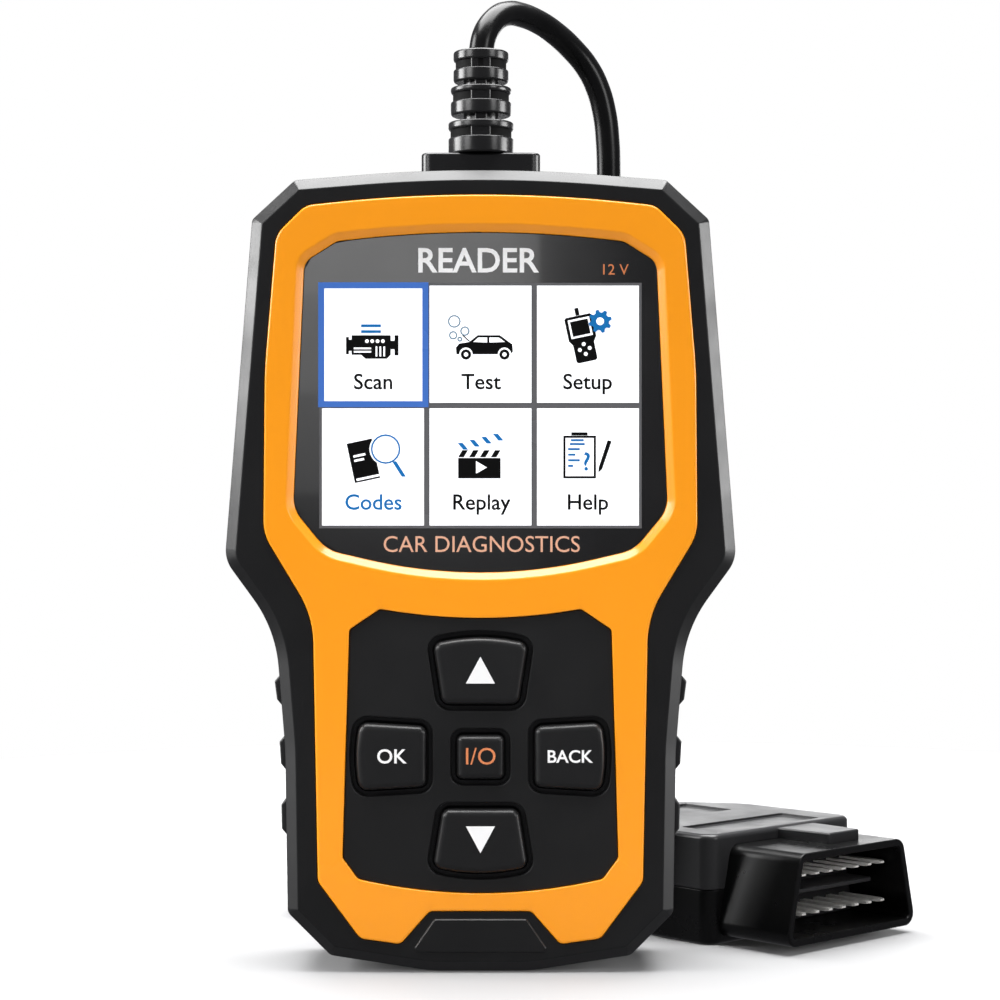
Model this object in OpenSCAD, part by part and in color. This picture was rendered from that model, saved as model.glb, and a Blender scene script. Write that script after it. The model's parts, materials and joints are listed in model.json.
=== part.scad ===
// Hand-held code reader with a colour screen, a five-key pad and a corded diagnostic plug.
// The reader stands upright: +Z is up, its front faces -Y, and z = 0 is the surface it stands on.

/* [Case] */
// Flat part of the case's front rim, measured from the middle plane
rim_front = 12; // [11:0.5:14]
// Depth of the rear shell behind the middle plane
rear_depth = 13; // [12:0.5:15]
// Thickness of the case walls
wall = 2; // [1.6:0.1:2.4]
// Width of the bevel round the case's front edge
front_bevel = 2.05; // [1:0.05:2.5]
// Height of the case's top edge at the middle
case_top = 144; // [143.4:0.1:145]

/* [Face plate] */
// How far the coloured face plate stands in front of the rim
plate_proud = 0.4; // [0:0.1:0.8]
// Thickness of the face plate
plate_t = 2.2; // [2:0.1:2.6]
// Width of the sloping band round the screen window
window_band = 1.3; // [0.6:0.1:1.8]
// Depth of the keypad panel's face behind the face plate's front
panel_sunk = 0.5; // [0.2:0.1:0.8]

/* [Screen] */
// Width of the picture area
lcd_w = 57.8; // [50:0.1:58]
// Height of the picture area
lcd_h = 44; // [36:0.1:45]
// Height of the picture's middle above the base
lcd_z = 101.6; // [100:0.1:103]
// Thickness of the screen lens
lens_t = 1; // [0.8:0.1:1.2]

/* [Keys] */
// Travel of each key
key_travel = 0.8; // [0.4:0.1:0.8]
// How far the keys stand in front of the keypad panel
key_proud = 1.1; // [0.8:0.1:1.4]
// Width of the dark gap round each key
key_moat = 1.2; // [0.8:0.1:1.4]

/* [Cord] */
// Outer diameter of the cord
cord_d = 4.6; // [4:0.1:5]

/* [Plug] */
// Width of the plug's housing
plug_w = 43.5; // [42:0.5:46]
// Height of the plug's housing
plug_h = 21; // [21:0.5:25]
// Length of the plug's housing without its shroud
plug_l = 40; // [38:1:42]
// Length of the D-shaped shroud in front of the housing
shroud_l = 17; // [16:0.5:18]
// Width of the shroud along its long side
shroud_wide = 39.4; // [39:0.1:40]
// Width of the shroud along its short side
shroud_narrow = 31.4; // [31:0.1:33]
// Height of the shroud
shroud_h = 17.2; // [17:0.1:18.4]
// Distance between neighbouring blades
pin_pitch = 4; // [4:0.1:4]
// Distance between the two rows of blades
row_gap = 7.4; // [7:0.1:8]

/* [Hidden] */

eps = 0.01;
fit = 0.05;
curve_fn = 48;

// Depths along Y, from the front to the back.
plate_front = -rim_front - plate_proud;
seat = plate_front + plate_t;
lens_front = seat - lens_t;
panel_front = plate_front + panel_sunk;
front_wall_back = seat + 1.8;
key_front = panel_front - key_proud;
flange_front = front_wall_back + 0.1;
flange_t = 0.8;
board_front = -5;
board_t = 1.6;
board_back = board_front + board_t;
dome_t = 0.5;
plunger_back = board_front - dome_t - key_travel - 0.1;

// Outlines in the X-Z plane, right half from the top down: [x, z, corner radius].
case_half = [
    [0, case_top + 0.87, 270], [33.4, case_top - 1.8, 1.5], [41.1, 135.1, 1.5], [46, 73.9, 6],
    [36.9, 61.4, 24], [35.15, 40, 60], [34.7, 10.5, 2], [27, 2.8, 2], [9, 0, 30]
];
plate_half = [
    [0, 140.8, 250], [31.3, 137.4, 4], [36.6, 132.2, 5], [38.6, 108, 100], [38.85, 78.6, 9],
    [30, 63.9, 18], [29.1, 16.4, 2.5], [21.5, 6.2, 2], [14.3, 5.2, 1.5], [9.1, 11.1, 1.5]
];
window_half = [
    [0, 133.9, 200], [25.7, 131.1, 3], [31.6, 127.4, 3], [33.6, 83, 6], [27.6, 75.7, 7],
    [0, 69.2, 90]
];
panel_half = [
    [0, 62.3, 100], [18, 65.2, 1], [23.5, 61.5, 1], [24.7, 20.6, 1], [21.9, 16.8, 1.5],
    [0, 12.2, 95]
];
board_half = [[36.5, 122, 1], [38.5, 79, 1], [30.5, 63, 1], [30.5, 22, 1], [21, 20, 1], [20, 9, 1]];
up_half = [[0, 60.7, 32], [8.5, 59.1, 1.6], [6.8, 48.1, 1.6]];
down_half = [[6.8, 29.4, 1.6], [8.5, 18.9, 1.6], [0, 17.2, 32]];
center_half = [[4.2, 42.6, 1], [4.2, 34.7, 1]];
side_key = [
    [9.7, 44.2, 1.4], [21.7, 44.9, 1.8], [22.6, 38.7, 26], [21.7, 32.6, 1.8], [9.7, 33.3, 1.4]
];
foot_panel_half = [[8.2, 9.6, 0.6], [12.2, 3.8, 0.6]];

// Screws, in the X-Z plane.
screw_places = [[33.5, 133.5], [27, 14]];
screw_r = 1.3;
screw_head_r = 2.5;
screw_seat = 6;
boss_r = 3;
recess_r = 2.9;

// Grip ribs on each side wall: [lower end, upper end].
rib_spans = [[24.4, 30.8], [36.1, 42.1], [47.7, 53]];
rib_proud = 0.95;
rib_sunk = 1;
rib_y = [-8.8, -1.2];

// Strain relief on top of the case.
relief_z = case_top + eps;
relief_top = 167;
relief_neck_r = 3.2;
relief_bore_r = 3.4;
relief_rings = [[148, 154, 6], [155.2, 160.4, 5.55], [161.3, relief_top, 5.05]];
relief_slots = [[151.1, 152.5], [157.8, 159.2], [163.7, 165.1]];

// Route of the cord from the strain relief to the coil, and from the coil to the plug.
lie = 2.9;
coil_center = [-9, 52];
coil_mean_r = 23;
coil_turns = 3.5;
tie_t = 0.6;
tube_route = [
    [0, 0, relief_top], [0.5, 0.6, 169.8], [1.6, 1.9, 172.3], [3.2, 3.8, 174.3], [5, 6, 175.4],
    [7.4, 8.9, 175.7], [10.4, 12.2, 175.2], [14, 15.5, 173.5], [17.3, 18, 171], [20.2, 19.5, 167.8],
    [22.2, 20, 164], [23.5, 20, 159.4], [24.2, 20, 153.6], [24.4, 20, 146], [24.4, 20, 134],
    [24.4, 20, 122], [24.4, 20, 110], [24.4, 20, 98], [24.4, 20, 86], [24.4, 20, 74],
    [24.4, 20.1, 62], [24.4, 20.2, 50], [24.4, 20.4, 38], [24.4, 20.8, 28], [24.2, 21.3, 20],
    [22.8, 22, 13.6], [19.8, 22.8, 8.4], [15.4, 23.6, 4.8], [10, 24.3, 3.2], [3, 24.7, lie],
    [-4, 24.9, lie], [-9, 24.9, lie]
];
tail_route = [
    [-9, 78.7, 7.5], [-4, 78.7, 7.6], [0.8, 78.7, 8], [5.2, 78.7, 8.6], [9, 78.2, 9.3],
    [12.4, 76.7, 9.9], [15.4, 74.35, 10.4], [18.35, 71.24, 10.5]
];

// The plug lies on the surface behind the case, turned to the right.
plug_place = [59.1, 28.3];
plug_turn = -46.5;
plug_wall = 1.8;
plug_mid = plug_h / 2;
flange_half = plug_w / 2 - plug_wall - 1.3;
tab_y = [-1.8, 9.2];
shroud_z = 1.5;
shroud_wall = 1.4;
pin_start = -6;
pin_end = 13.2;
divider_end = 10;
pin_w = 1.5;
pin_t = 0.7;
pin_mid = shroud_z + shroud_h / 2;
boot_front = -plug_l + plug_wall;
boot_l = 21;
boot_end_r = 3.4;
boot_base_r = 5.2;

// ---- outlines ----

function unit(v) = v / norm(v);

function flip(half) = [for (i = [len(half) - 1:-1:0]) if (half[i][0] > 0) [-half[i][0], half[i][1], half[i][2]]];

function both(half) = concat(half, flip(half));

function xz(v) = [v[0], v[1]];

function arc_steps(r) = r > 40 ? 10 : (r > 7 ? 6 : 4);

// Points of the arc that rounds corner c, between its neighbours a and b.
function corner_arc(a, c, b) =
    let (u = unit(xz(a) - xz(c)), w = unit(xz(b) - xz(c)))
    let (half_angle = acos(u * w) / 2, r = c[2], n = arc_steps(c[3]))
    let (middle = xz(c) + unit(u + w) * r / sin(half_angle))
    let (from = xz(c) + u * r / tan(half_angle) - middle, to = xz(c) + w * r / tan(half_angle) - middle)
    let (start = atan2(from[1], from[0]), turn = atan2(to[1], to[0]) - start)
    let (sweep = turn > 180 ? turn - 360 : (turn < -180 ? turn + 360 : turn))
    [for (i = [0:n]) middle + r * [cos(start + sweep * i / n), sin(start + sweep * i / n)]];

// Corners moved inwards by d, with the radii kept concentric. The 4th value keeps the first radius.
function inset(v, d) = [
    for (i = [0:len(v) - 1])
        let (c = v[i], a = v[(i + len(v) - 1) % len(v)], b = v[(i + 1) % len(v)])
        let (u = unit(xz(c) - xz(a)), w = unit(xz(b) - xz(c)))
        let (n1 = [-u[1], u[0]], n2 = [-w[1], w[0]])
        let (p = xz(c) - d * (n1 + n2) / (1 + n1 * n2))
        let (outer = u[0] * w[1] - u[1] * w[0] < 0)
        [p[0], p[1], max(0.2, c[2] + (outer ? -d : d)), c[2]]
];

function rounded(v) = [
    for (i = [0:len(v) - 1])
        each corner_arc(v[(i + len(v) - 1) % len(v)], v[i], v[(i + 1) % len(v)])
];

// A closed outline: the corners moved in by d (out when negative), then rounded.
function ring(v, d = 0) = rounded(inset(v, d));

case_v = both(case_half);
plate_v = both(plate_half);
window_v = both(window_half);
panel_v = both(panel_half);
up_v = both(up_half);
down_v = both(down_half);
center_v = both(center_half);
exit_v = side_key;
enter_v = flip(side_key);

// Half-width of the case wall at height z, on its lower side walls.
function side_x(z) = z < 40 ? 34.7 + 0.45 * (z - 10.5) / 29.5 : 35.15 + 1.75 * (z - 40) / 21.4;

// ---- solids ----

// A prism of an X-Z outline between two depths.
module slab(points, front, back) {
    translate([0, back, 0])
        rotate([90, 0, 0])
            linear_extrude(back - front)
                polygon(points);
}

// A closed skin through outlines of one point count: levels is a list of [y, points], front first.
module loft(levels) {
    n = len(levels[0][1]);
    last = (len(levels) - 1) * n;
    polyhedron(
        points = [for (l = levels) for (p = l[1]) [p[0], l[0], p[1]]],
        faces = concat(
            [[for (i = [0:n - 1]) i]],
            [[for (i = [n - 1:-1:0]) last + i]],
            [for (k = [0:len(levels) - 2]) for (i = [0:n - 1])
                [k * n + i, (k + 1) * n + i, (k + 1) * n + (i + 1) % n, k * n + (i + 1) % n]]
        ),
        convexity = 6
    );
}

module disc_y(x, z, r, front, back) {
    translate([x, back, z])
        rotate([90, 0, 0])
            cylinder(h = back - front, r = r, $fn = curve_fn);
}

module block(low, high) {
    translate(low)
        cube(high - low);
}

module mirrored_x() {
    children();
    mirror([1, 0, 0])
        children();
}

module at_screws() {
    for (s = [-1, 1], p = screw_places)
        translate([s * p[0], 0, p[1]])
            children();
}

module rod(a, b, r) {
    d = b - a;
    translate(a)
        rotate([0, acos(d[2] / norm(d)), atan2(d[1], d[0])])
            cylinder(h = norm(d), r = r, $fn = 24);
}

// ---- case ----

module front_shell() {
    color([0.13, 0.13, 0.14])
    difference() {
        union() {
            difference() {
                loft([
                    [-rim_front, ring(case_v, front_bevel)],
                    [-rim_front + front_bevel, ring(case_v)],
                    [0, ring(case_v)]
                ]);
                slab(ring(case_v, wall), front_wall_back, eps);
                slab(ring(plate_v, -fit), -rim_front - 1, seat);
            }
            slab(ring(both(foot_panel_half)), -rim_front - 0.3, -rim_front + eps);
            at_screws() disc_y(0, 0, boss_r, front_wall_back - eps, 0);
        }
        block([-lcd_w / 2 - 1, seat - 1, lcd_z - lcd_h / 2 - 1],
              [lcd_w / 2 + 1, front_wall_back + 1, lcd_z + lcd_h / 2 + 1]);
        for (k = [up_v, down_v, center_v, exit_v, enter_v])
            slab(ring(k, -0.4), seat - 1, front_wall_back + 1);
        at_screws() disc_y(0, 0, screw_r, -7, eps);
        mirrored_x() grip_ribs(fit);
        relief_hole();
    }
}

module rear_shell() {
    color([0.12, 0.12, 0.13])
    difference() {
        union() {
            difference() {
                loft([
                    [0, ring(case_v)],
                    [rear_depth - 3, ring(case_v)],
                    [rear_depth - 0.9, ring(case_v, 0.9)],
                    [rear_depth, ring(case_v, 2.6)]
                ]);
                slab(ring(case_v, wall), -eps, rear_depth - wall);
            }
            at_screws() disc_y(0, 0, boss_r + 1, 0, rear_depth - wall + eps);
        }
        at_screws() {
            disc_y(0, 0, screw_r + 0.2, -eps, screw_seat + eps);
            disc_y(0, 0, recess_r, screw_seat, rear_depth + 1);
        }
        slab(ring(both([[26, 96, 2], [26, 58, 2]])), rear_depth - 0.5, rear_depth + 1);
        relief_hole();
    }
}

module relief_hole() {
    translate([0, 0, case_top - wall - 1])
        cylinder(h = wall + 2, r = relief_bore_r + fit, $fn = curve_fn);
}

module face_plate() {
    color([1, 0.6, 0.12])
    difference() {
        slab(ring(plate_v), plate_front, seat);
        slab(ring(window_v), lens_front - eps, seat + 1);
        loft([
            [plate_front - eps, ring(window_v, -window_band)],
            [lens_front, ring(window_v)]
        ]);
        slab(ring(panel_v), plate_front - 1, seat + 1);
    }
}

module screen_lens() {
    color([0.2, 0.2, 0.21])
        slab(ring(window_v, fit), lens_front, seat);
}

module keypad_panel() {
    color([0.15, 0.15, 0.16])
    difference() {
        slab(ring(panel_v, fit), panel_front, seat);
        for (k = [up_v, down_v, center_v, exit_v, enter_v])
            slab(ring(k, -key_moat), panel_front - 1, seat + 1);
    }
}

// ---- keys ----

// A key cap with a rounded face, a flange behind the front wall and a plunger over its dome.
module key_cap(v, middle) {
    color([0.17, 0.17, 0.18])
    union() {
        loft([
            [key_front, ring(v, 1)],
            [key_front + 0.2, ring(v, 0.4)],
            [key_front + 0.7, ring(v)],
            [flange_front + eps, ring(v)]
        ]);
        slab(ring(v, -1.2), flange_front, flange_front + flange_t);
        disc_y(middle[0], middle[1], 2, flange_front + flange_t - eps, plunger_back);
    }
}

key_middles = [[0, 54], [0, 24], [0, 38.7], [15.9, 38.7], [-15.9, 38.7]];

module up_key() key_cap(up_v, key_middles[0]);

module down_key() key_cap(down_v, key_middles[1]);

module center_key() key_cap(center_v, key_middles[2]);

module exit_key() key_cap(exit_v, key_middles[3]);

module enter_key() key_cap(enter_v, key_middles[4]);

module key_domes() {
    color([0.8, 0.8, 0.78])
    for (m = key_middles)
        disc_y(m[0], m[1], 3, board_front - dome_t, board_front);
}

// ---- screen and electronics ----

module lcd_gasket() {
    color([0.1, 0.1, 0.1])
    difference() {
        block([-32, front_wall_back, 78], [32, front_wall_back + 0.5, 125]);
        block([-lcd_w / 2 - 1, front_wall_back - 1, lcd_z - lcd_h / 2 - 1],
              [lcd_w / 2 + 1, front_wall_back + 1, lcd_z + lcd_h / 2 + 1]);
    }
}

module lcd_glass() {
    color([0.85, 0.88, 0.92])
        block([-32, front_wall_back + 0.5, 78], [32, front_wall_back + 1.5, 125]);
}

module lcd_frame() {
    color([0.75, 0.76, 0.78])
        block([-34, front_wall_back + 1.5, 76.5], [34, board_front, 126]);
}

module lcd_ribbon() {
    color([0.75, 0.45, 0.1])
        block([-8, board_front - 0.9, 70], [8, board_front - 0.7, 76.5]);
}

module ribbon_socket() {
    color([0.9, 0.88, 0.8])
        block([-9.5, board_front - 1.2, 66.5], [9.5, board_front, 70]);
}

module main_board() {
    color([0.05, 0.35, 0.15])
        slab(ring(both(board_half)), board_front, board_back);
}

module processor() {
    color([0.1, 0.1, 0.1])
        block([-7, board_back, 88], [7, board_back + 1.4, 102]);
}

module interface_chips() {
    color([0.1, 0.1, 0.1])
    for (c = [[-22, 92], [-22, 80], [20, 106], [14, 60], [-14, 60]])
        block([c[0] - 2.5, board_back, c[1] - 2], [c[0] + 2.5, board_back + 1.5, c[1] + 2]);
}

module board_passives() {
    color([0.7, 0.6, 0.45])
    for (i = [0:5], row = [52, 70, 110])
        block([-20 + 7 * i, board_back, row], [-18.4 + 7 * i, board_back + 0.8, row + 0.9]);
}

module crystal() {
    color([0.8, 0.8, 0.82])
        block([12, board_back, 92], [16.5, board_back + 3.5, 102]);
}

module buzzer() {
    color([0.1, 0.1, 0.1])
    difference() {
        disc_y(16, 34, 6, board_back, board_back + 5);
        disc_y(16, 34, 1, board_back + 4, board_back + 6);
    }
}

module cable_header() {
    color([0.92, 0.9, 0.82])
        block([-6, board_back, 114], [6, board_back + 5.5, 120]);
}

wire_x = [-3.6, -1.2, 1.2, 3.6];
lead_low = 131;
header_top = [1.35, 120];

module inner_wires() {
    color([0.6, 0.1, 0.1])
    union() {
        translate([0, 0, lead_low])
            cylinder(h = case_top - wall - 1.7 - lead_low, r = cord_d / 2, $fn = 24);
        for (x = wire_x)
            rod([x, -header_top[0] + 0.7, header_top[1]], [x * 0.35, 0, lead_low + 1], 0.5);
    }
}

module case_screws() {
    color([0.6, 0.6, 0.62])
    at_screws() {
        disc_y(0, 0, screw_r - fit, -6.5, screw_seat);
        difference() {
            disc_y(0, 0, screw_head_r, screw_seat, screw_seat + 1.6);
            for (turn = [0, 90])
                rotate([0, turn, 0])
                    block([-1.5, screw_seat + 0.8, -0.3], [1.5, screw_seat + 2, 0.3]);
        }
    }
}

module back_plate() {
    color([0.3, 0.3, 0.32])
        slab(ring(both([[26, 96, 2], [26, 58, 2]]), fit), rear_depth - 0.5, rear_depth - 0.1);
}

// Three grip ribs let into the right side wall, grown by g for their pockets.
module grip_ribs(g = 0) {
    for (s = rib_spans)
        slab([
            [side_x(s[0]) - rib_sunk - g, s[0] - g], [side_x(s[0]) - eps, s[0] - g],
            [side_x(s[0]) + rib_proud, s[0] + 1], [side_x(s[1]) + rib_proud, s[1] - 1],
            [side_x(s[1]) - eps, s[1] + g], [side_x(s[1]) - rib_sunk - g, s[1] + g]
        ], rib_y[0] - g, rib_y[1] + g);
}

module right_grip_ribs() {
    color([0.16, 0.16, 0.17])
        grip_ribs();
}

module left_grip_ribs() {
    color([0.16, 0.16, 0.17])
    mirror([1, 0, 0])
        grip_ribs();
}

// ---- strain relief and cord ----

module relief_flange() {
    translate([0, 0, relief_z])
        linear_extrude(relief_rings[0][0] - relief_z)
            union() {
                square([17.7, 9], center = true);
                square([21.7, 5], center = true);
                for (x = [-1, 1], y = [-1, 1])
                    translate([x * 8.85, y * 2.5])
                        circle(r = 2, $fn = 32);
            }
}

module strain_relief() {
    color([0.14, 0.14, 0.15])
    difference() {
        union() {
            relief_flange();
            translate([0, 0, case_top - wall - 1.7])
                cylinder(h = relief_top - case_top + wall + 1.7, r = relief_neck_r, $fn = curve_fn);
            translate([0, 0, case_top - wall - 1.7])
                cylinder(h = 1.5, r = 5.5, $fn = curve_fn);
            for (r = relief_rings)
                translate([0, 0, r[0]])
                    cylinder(h = r[1] - r[0], r = r[2], $fn = curve_fn);
        }
        for (s = relief_slots)
            translate([0, 0, s[0]])
                difference() {
                    cylinder(h = s[1] - s[0], r = 8, $fn = curve_fn);
                    translate([0, 0, -1])
                        cylinder(h = 4, r = relief_neck_r, $fn = curve_fn);
                    block([-1.25, -8, -1], [1.25, 8, 3]);
                }
    }
}

function route_way(p, i) = unit(p[min(i + 1, len(p) - 1)] - p[max(i - 1, 0)]);

// Unit vectors across the route, carried along it so that the tube doesn't twist.
function carry(p, i, side) =
    i == len(p) ? [] :
    let (t = route_way(p, i), s = unit(side - (side * t) * t))
    concat([[s, cross(t, s)]], carry(p, i + 1, s));

module tube(route, r, sides, first_side) {
    frames = carry(route, 0, first_side);
    last = (len(route) - 1) * sides;
    polyhedron(
        points = [
            for (i = [0:len(route) - 1], k = [0:sides - 1])
                route[i] + r * (cos(360 * k / sides) * frames[i][0] + sin(360 * k / sides) * frames[i][1])
        ],
        faces = concat(
            [[for (k = [0:sides - 1]) k]],
            [[for (k = [sides - 1:-1:0]) last + k]],
            [for (i = [0:len(route) - 2], k = [0:sides - 1])
                [i * sides + k, (i + 1) * sides + k, (i + 1) * sides + (k + 1) % sides,
                 i * sides + (k + 1) % sides]]
        ),
        convexity = 6
    );
}

coil_in_r = coil_mean_r - 0.9 * cord_d - cord_d / 2;
coil_out_r = coil_mean_r + 0.9 * cord_d + cord_d / 2;
coil_h = 2 * cord_d;

module cord_tube() {
    color([0.08, 0.08, 0.08])
        tube(tube_route, cord_d / 2, 8, [1, 0, 0]);
}

module cord_tail() {
    color([0.08, 0.08, 0.08])
        tube(tail_route, cord_d / 2, 8, [0, 0, 1]);
}

module coil_profile(grow) {
    translate([coil_in_r - grow, tie_t - grow])
        square([coil_out_r - coil_in_r + 2 * grow, coil_h + 2 * grow]);
}

module cord_coil() {
    color([0.08, 0.08, 0.08])
    translate([coil_center[0], coil_center[1], 0])
        rotate_extrude($fn = 96)
            coil_profile(0);
}

module cord_tie() {
    color([0.05, 0.05, 0.05])
    translate([coil_center[0], coil_center[1], 0])
        rotate([0, 0, 170])
            rotate_extrude(angle = 24, $fn = 96)
                difference() {
                    coil_profile(tie_t);
                    coil_profile(0);
                }
}

// ---- plug ----

module at_plug() {
    translate([plug_place[0], plug_place[1], 0])
        rotate([0, 0, plug_turn])
            children();
}

housing_v = [
    [0, plug_w / 2, 3], [0, -plug_w / 2, 3], [-28, -plug_w / 2 + 0.6, 10], [-plug_l, -13, 3],
    [-plug_l, 13, 3], [-28, plug_w / 2 - 0.6, 10]
];

// The housing's plan, drawn inwards by d, between two heights.
module housing(d, low, high) {
    translate([0, 0, low])
        linear_extrude(high - low)
            polygon(ring(housing_v, d));
}

shroud_v = [
    [shroud_narrow / 2, shroud_h, 2.4], [shroud_wide / 2, 0, 2.4],
    [-shroud_wide / 2, 0, 2.4], [-shroud_narrow / 2, shroud_h, 2.4]
];

// A D-shaped bar along the plug's axis, drawn inwards by d, from start to end.
module d_bar(d, start, end) {
    translate([start, 0, shroud_z])
        rotate([90, 0, 90])
            linear_extrude(end - start)
                polygon(ring(shroud_v, d));
}

plug_screw_places = [[-31, 11], [-31, -11]];

module plug_shell_half(low, high, inner_low, inner_high) {
    difference() {
        housing(0, low, high);
        housing(plug_wall, inner_low, inner_high);
        d_bar(-fit, -plug_wall - 1, 1);
        translate([0, 0, plug_mid])
            rotate([0, -90, 0])
                cylinder(h = plug_l + 1, r = 4.2, $fn = curve_fn);
    }
}

module plug_top_cover() {
    color([0.2, 0.2, 0.21])
    at_plug()
        difference() {
            union() {
                plug_shell_half(plug_mid, plug_h, plug_mid - 1, plug_h - plug_wall);
                for (p = plug_screw_places)
                    translate([p[0], p[1], plug_mid])
                        cylinder(h = plug_mid - plug_wall + eps, r = 2.6, $fn = 32);
                tab_over_shroud();
            }
            for (p = plug_screw_places)
                translate([p[0], p[1], plug_mid - 1])
                    cylinder(h = 7, r = 1.1, $fn = 32);
            sunk_panels();
        }
}

module tab_over_shroud() {
    block([-eps, tab_y[0], shroud_z + shroud_h + fit], [12, tab_y[1], shroud_z + shroud_h + 2]);
}

// Two shallow sunk panels in the top of the housing: [rear, right, front, left].
panel_spans = [[-12.5, -16, -2.5, 14], [-36, -11, -23, 11]];

module sunk_panels() {
    for (p = panel_spans)
        block([p[0], p[1], plug_h - 0.4], [p[2], p[3], plug_h + 1]);
}

module plug_bottom_cover() {
    color([0.16, 0.16, 0.17])
    at_plug()
        difference() {
            union() {
                plug_shell_half(0, plug_mid, plug_wall, plug_mid + 1);
                for (p = plug_screw_places)
                    translate([p[0], p[1], plug_wall - eps])
                        cylinder(h = plug_mid - plug_wall + eps, r = 3.2, $fn = 32);
            }
            for (p = plug_screw_places)
                translate([p[0], p[1], -1]) {
                    cylinder(h = plug_mid + 2, r = 1.3, $fn = 32);
                    cylinder(h = 4, r = 2.3, $fn = 32);
                }
        }
}

module plug_screws() {
    color([0.6, 0.6, 0.62])
    at_plug()
        for (p = plug_screw_places)
            translate([p[0], p[1], 3]) {
                cylinder(h = plug_mid + 2.5, r = 1.1 - fit, $fn = 32);
                translate([0, 0, -1.4])
                    cylinder(h = 1.4, r = 2, $fn = 32);
            }
}

module plug_shroud() {
    color([0.13, 0.13, 0.14])
    at_plug()
        difference() {
            union() {
                d_bar(0, -plug_wall - eps, shroud_l);
                intersection() {
                    d_bar(-1.2, -plug_wall - 1.5, -plug_wall);
                    block([-plug_l, -flange_half, plug_wall + fit],
                          [0, flange_half, plug_h - plug_wall - fit]);
                }
            }
            d_bar(shroud_wall, -plug_wall - 2, shroud_l + 1);
        }
}

module plug_pin_block() {
    color([0.1, 0.1, 0.1])
    at_plug() {
        d_bar(shroud_wall + fit, -plug_wall - 1.5, 3);
        block([3 - eps, -14.6, pin_mid - 0.45], [divider_end, 14.6, pin_mid + 0.45]);
    }
}

module plug_pins() {
    color([0.85, 0.83, 0.78])
    at_plug()
        for (i = [-3.5:3.5], s = [-0.5, 0.5])
            translate([pin_start, i * pin_pitch - pin_w / 2, pin_mid + s * row_gap - pin_t / 2])
                cube([pin_end - pin_start, pin_w, pin_t]);
}

module plug_board() {
    color([0.05, 0.35, 0.15])
    at_plug()
        block([pin_start - 0.4, -16, 3], [pin_start + 1.2, 16, 18]);
}

// A tapered sleeve with a collar inside the housing's back wall.
module plug_boot() {
    color([0.12, 0.12, 0.13])
    at_plug()
        translate([-plug_l + plug_wall, 0, plug_mid])
            rotate([0, -90, 0])
                rotate_extrude($fn = curve_fn)
                    polygon([
                        [0, -2], [5.4, -2], [5.4, -0.1], [4.1, -0.1], [4.1, plug_wall + 0.1],
                        [boot_base_r, plug_wall + 0.1], [boot_base_r, plug_wall + 3],
                        [boot_end_r, boot_l], [0, boot_l]
                    ]);
}

front_shell();
rear_shell();
face_plate();
screen_lens();
keypad_panel();
up_key();
down_key();
enter_key();
exit_key();
center_key();
lcd_gasket();
lcd_glass();
lcd_frame();
lcd_ribbon();
ribbon_socket();
main_board();
processor();
interface_chips();
board_passives();
crystal();
buzzer();
key_domes();
cable_header();
inner_wires();
case_screws();
back_plate();
left_grip_ribs();
right_grip_ribs();
strain_relief();
cord_tube();
cord_coil();
cord_tail();
cord_tie();
plug_boot();
plug_top_cover();
plug_bottom_cover();
plug_shroud();
plug_pin_block();
plug_pins();
plug_board();
plug_screws();
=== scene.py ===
"""Looks of the hand-held code reader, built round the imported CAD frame.

Lengths are in millimetres and turn into metres when a piece is made.
The reader stands on z = 0 and faces -Y.
"""
import json
import math

import bmesh
import bpy
from mathutils import Matrix, Vector

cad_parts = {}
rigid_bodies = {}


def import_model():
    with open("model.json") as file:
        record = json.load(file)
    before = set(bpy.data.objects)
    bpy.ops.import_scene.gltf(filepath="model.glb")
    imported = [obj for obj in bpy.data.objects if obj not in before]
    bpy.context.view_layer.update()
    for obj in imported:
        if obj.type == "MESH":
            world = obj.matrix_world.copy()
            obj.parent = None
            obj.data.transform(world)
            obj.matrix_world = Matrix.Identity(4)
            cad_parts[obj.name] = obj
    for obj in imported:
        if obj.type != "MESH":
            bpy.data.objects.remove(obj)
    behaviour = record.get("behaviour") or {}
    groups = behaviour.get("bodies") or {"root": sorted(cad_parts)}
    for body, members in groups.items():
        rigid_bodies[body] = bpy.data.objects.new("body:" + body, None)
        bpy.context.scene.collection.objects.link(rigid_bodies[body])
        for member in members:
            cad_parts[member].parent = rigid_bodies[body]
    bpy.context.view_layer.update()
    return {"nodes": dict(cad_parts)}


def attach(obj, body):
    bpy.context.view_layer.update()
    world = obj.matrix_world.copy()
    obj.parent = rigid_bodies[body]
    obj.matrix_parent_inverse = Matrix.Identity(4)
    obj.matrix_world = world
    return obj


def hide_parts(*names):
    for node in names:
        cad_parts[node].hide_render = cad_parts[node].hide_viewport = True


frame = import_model()
NODES = frame["nodes"]
MM = 0.001


def around(x, z, radius, angle):
    """The point at an angle on a circle about x and z."""
    return (x + radius * math.cos(angle), z + radius * math.sin(angle))


def link_object(name, data):
    piece = bpy.data.objects.new(name, data)
    bpy.context.collection.objects.link(piece)
    return piece


# ---- camera ----

CAMERA_AT = (3.5, -442.0, 84.67)
CAMERA_LENS = 86.5


def make_camera():
    data = bpy.data.cameras.new("camera")
    data.sensor_width = 36.0
    data.lens = CAMERA_LENS
    data.clip_start = 0.01
    camera = link_object("camera", data)
    camera.location = Vector(CAMERA_AT) * MM
    camera.rotation_euler = (math.radians(90.0), 0.0, 0.0)
    bpy.context.scene.camera = camera


make_camera()

# ---- cord route, as in the CAD model ----

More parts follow.
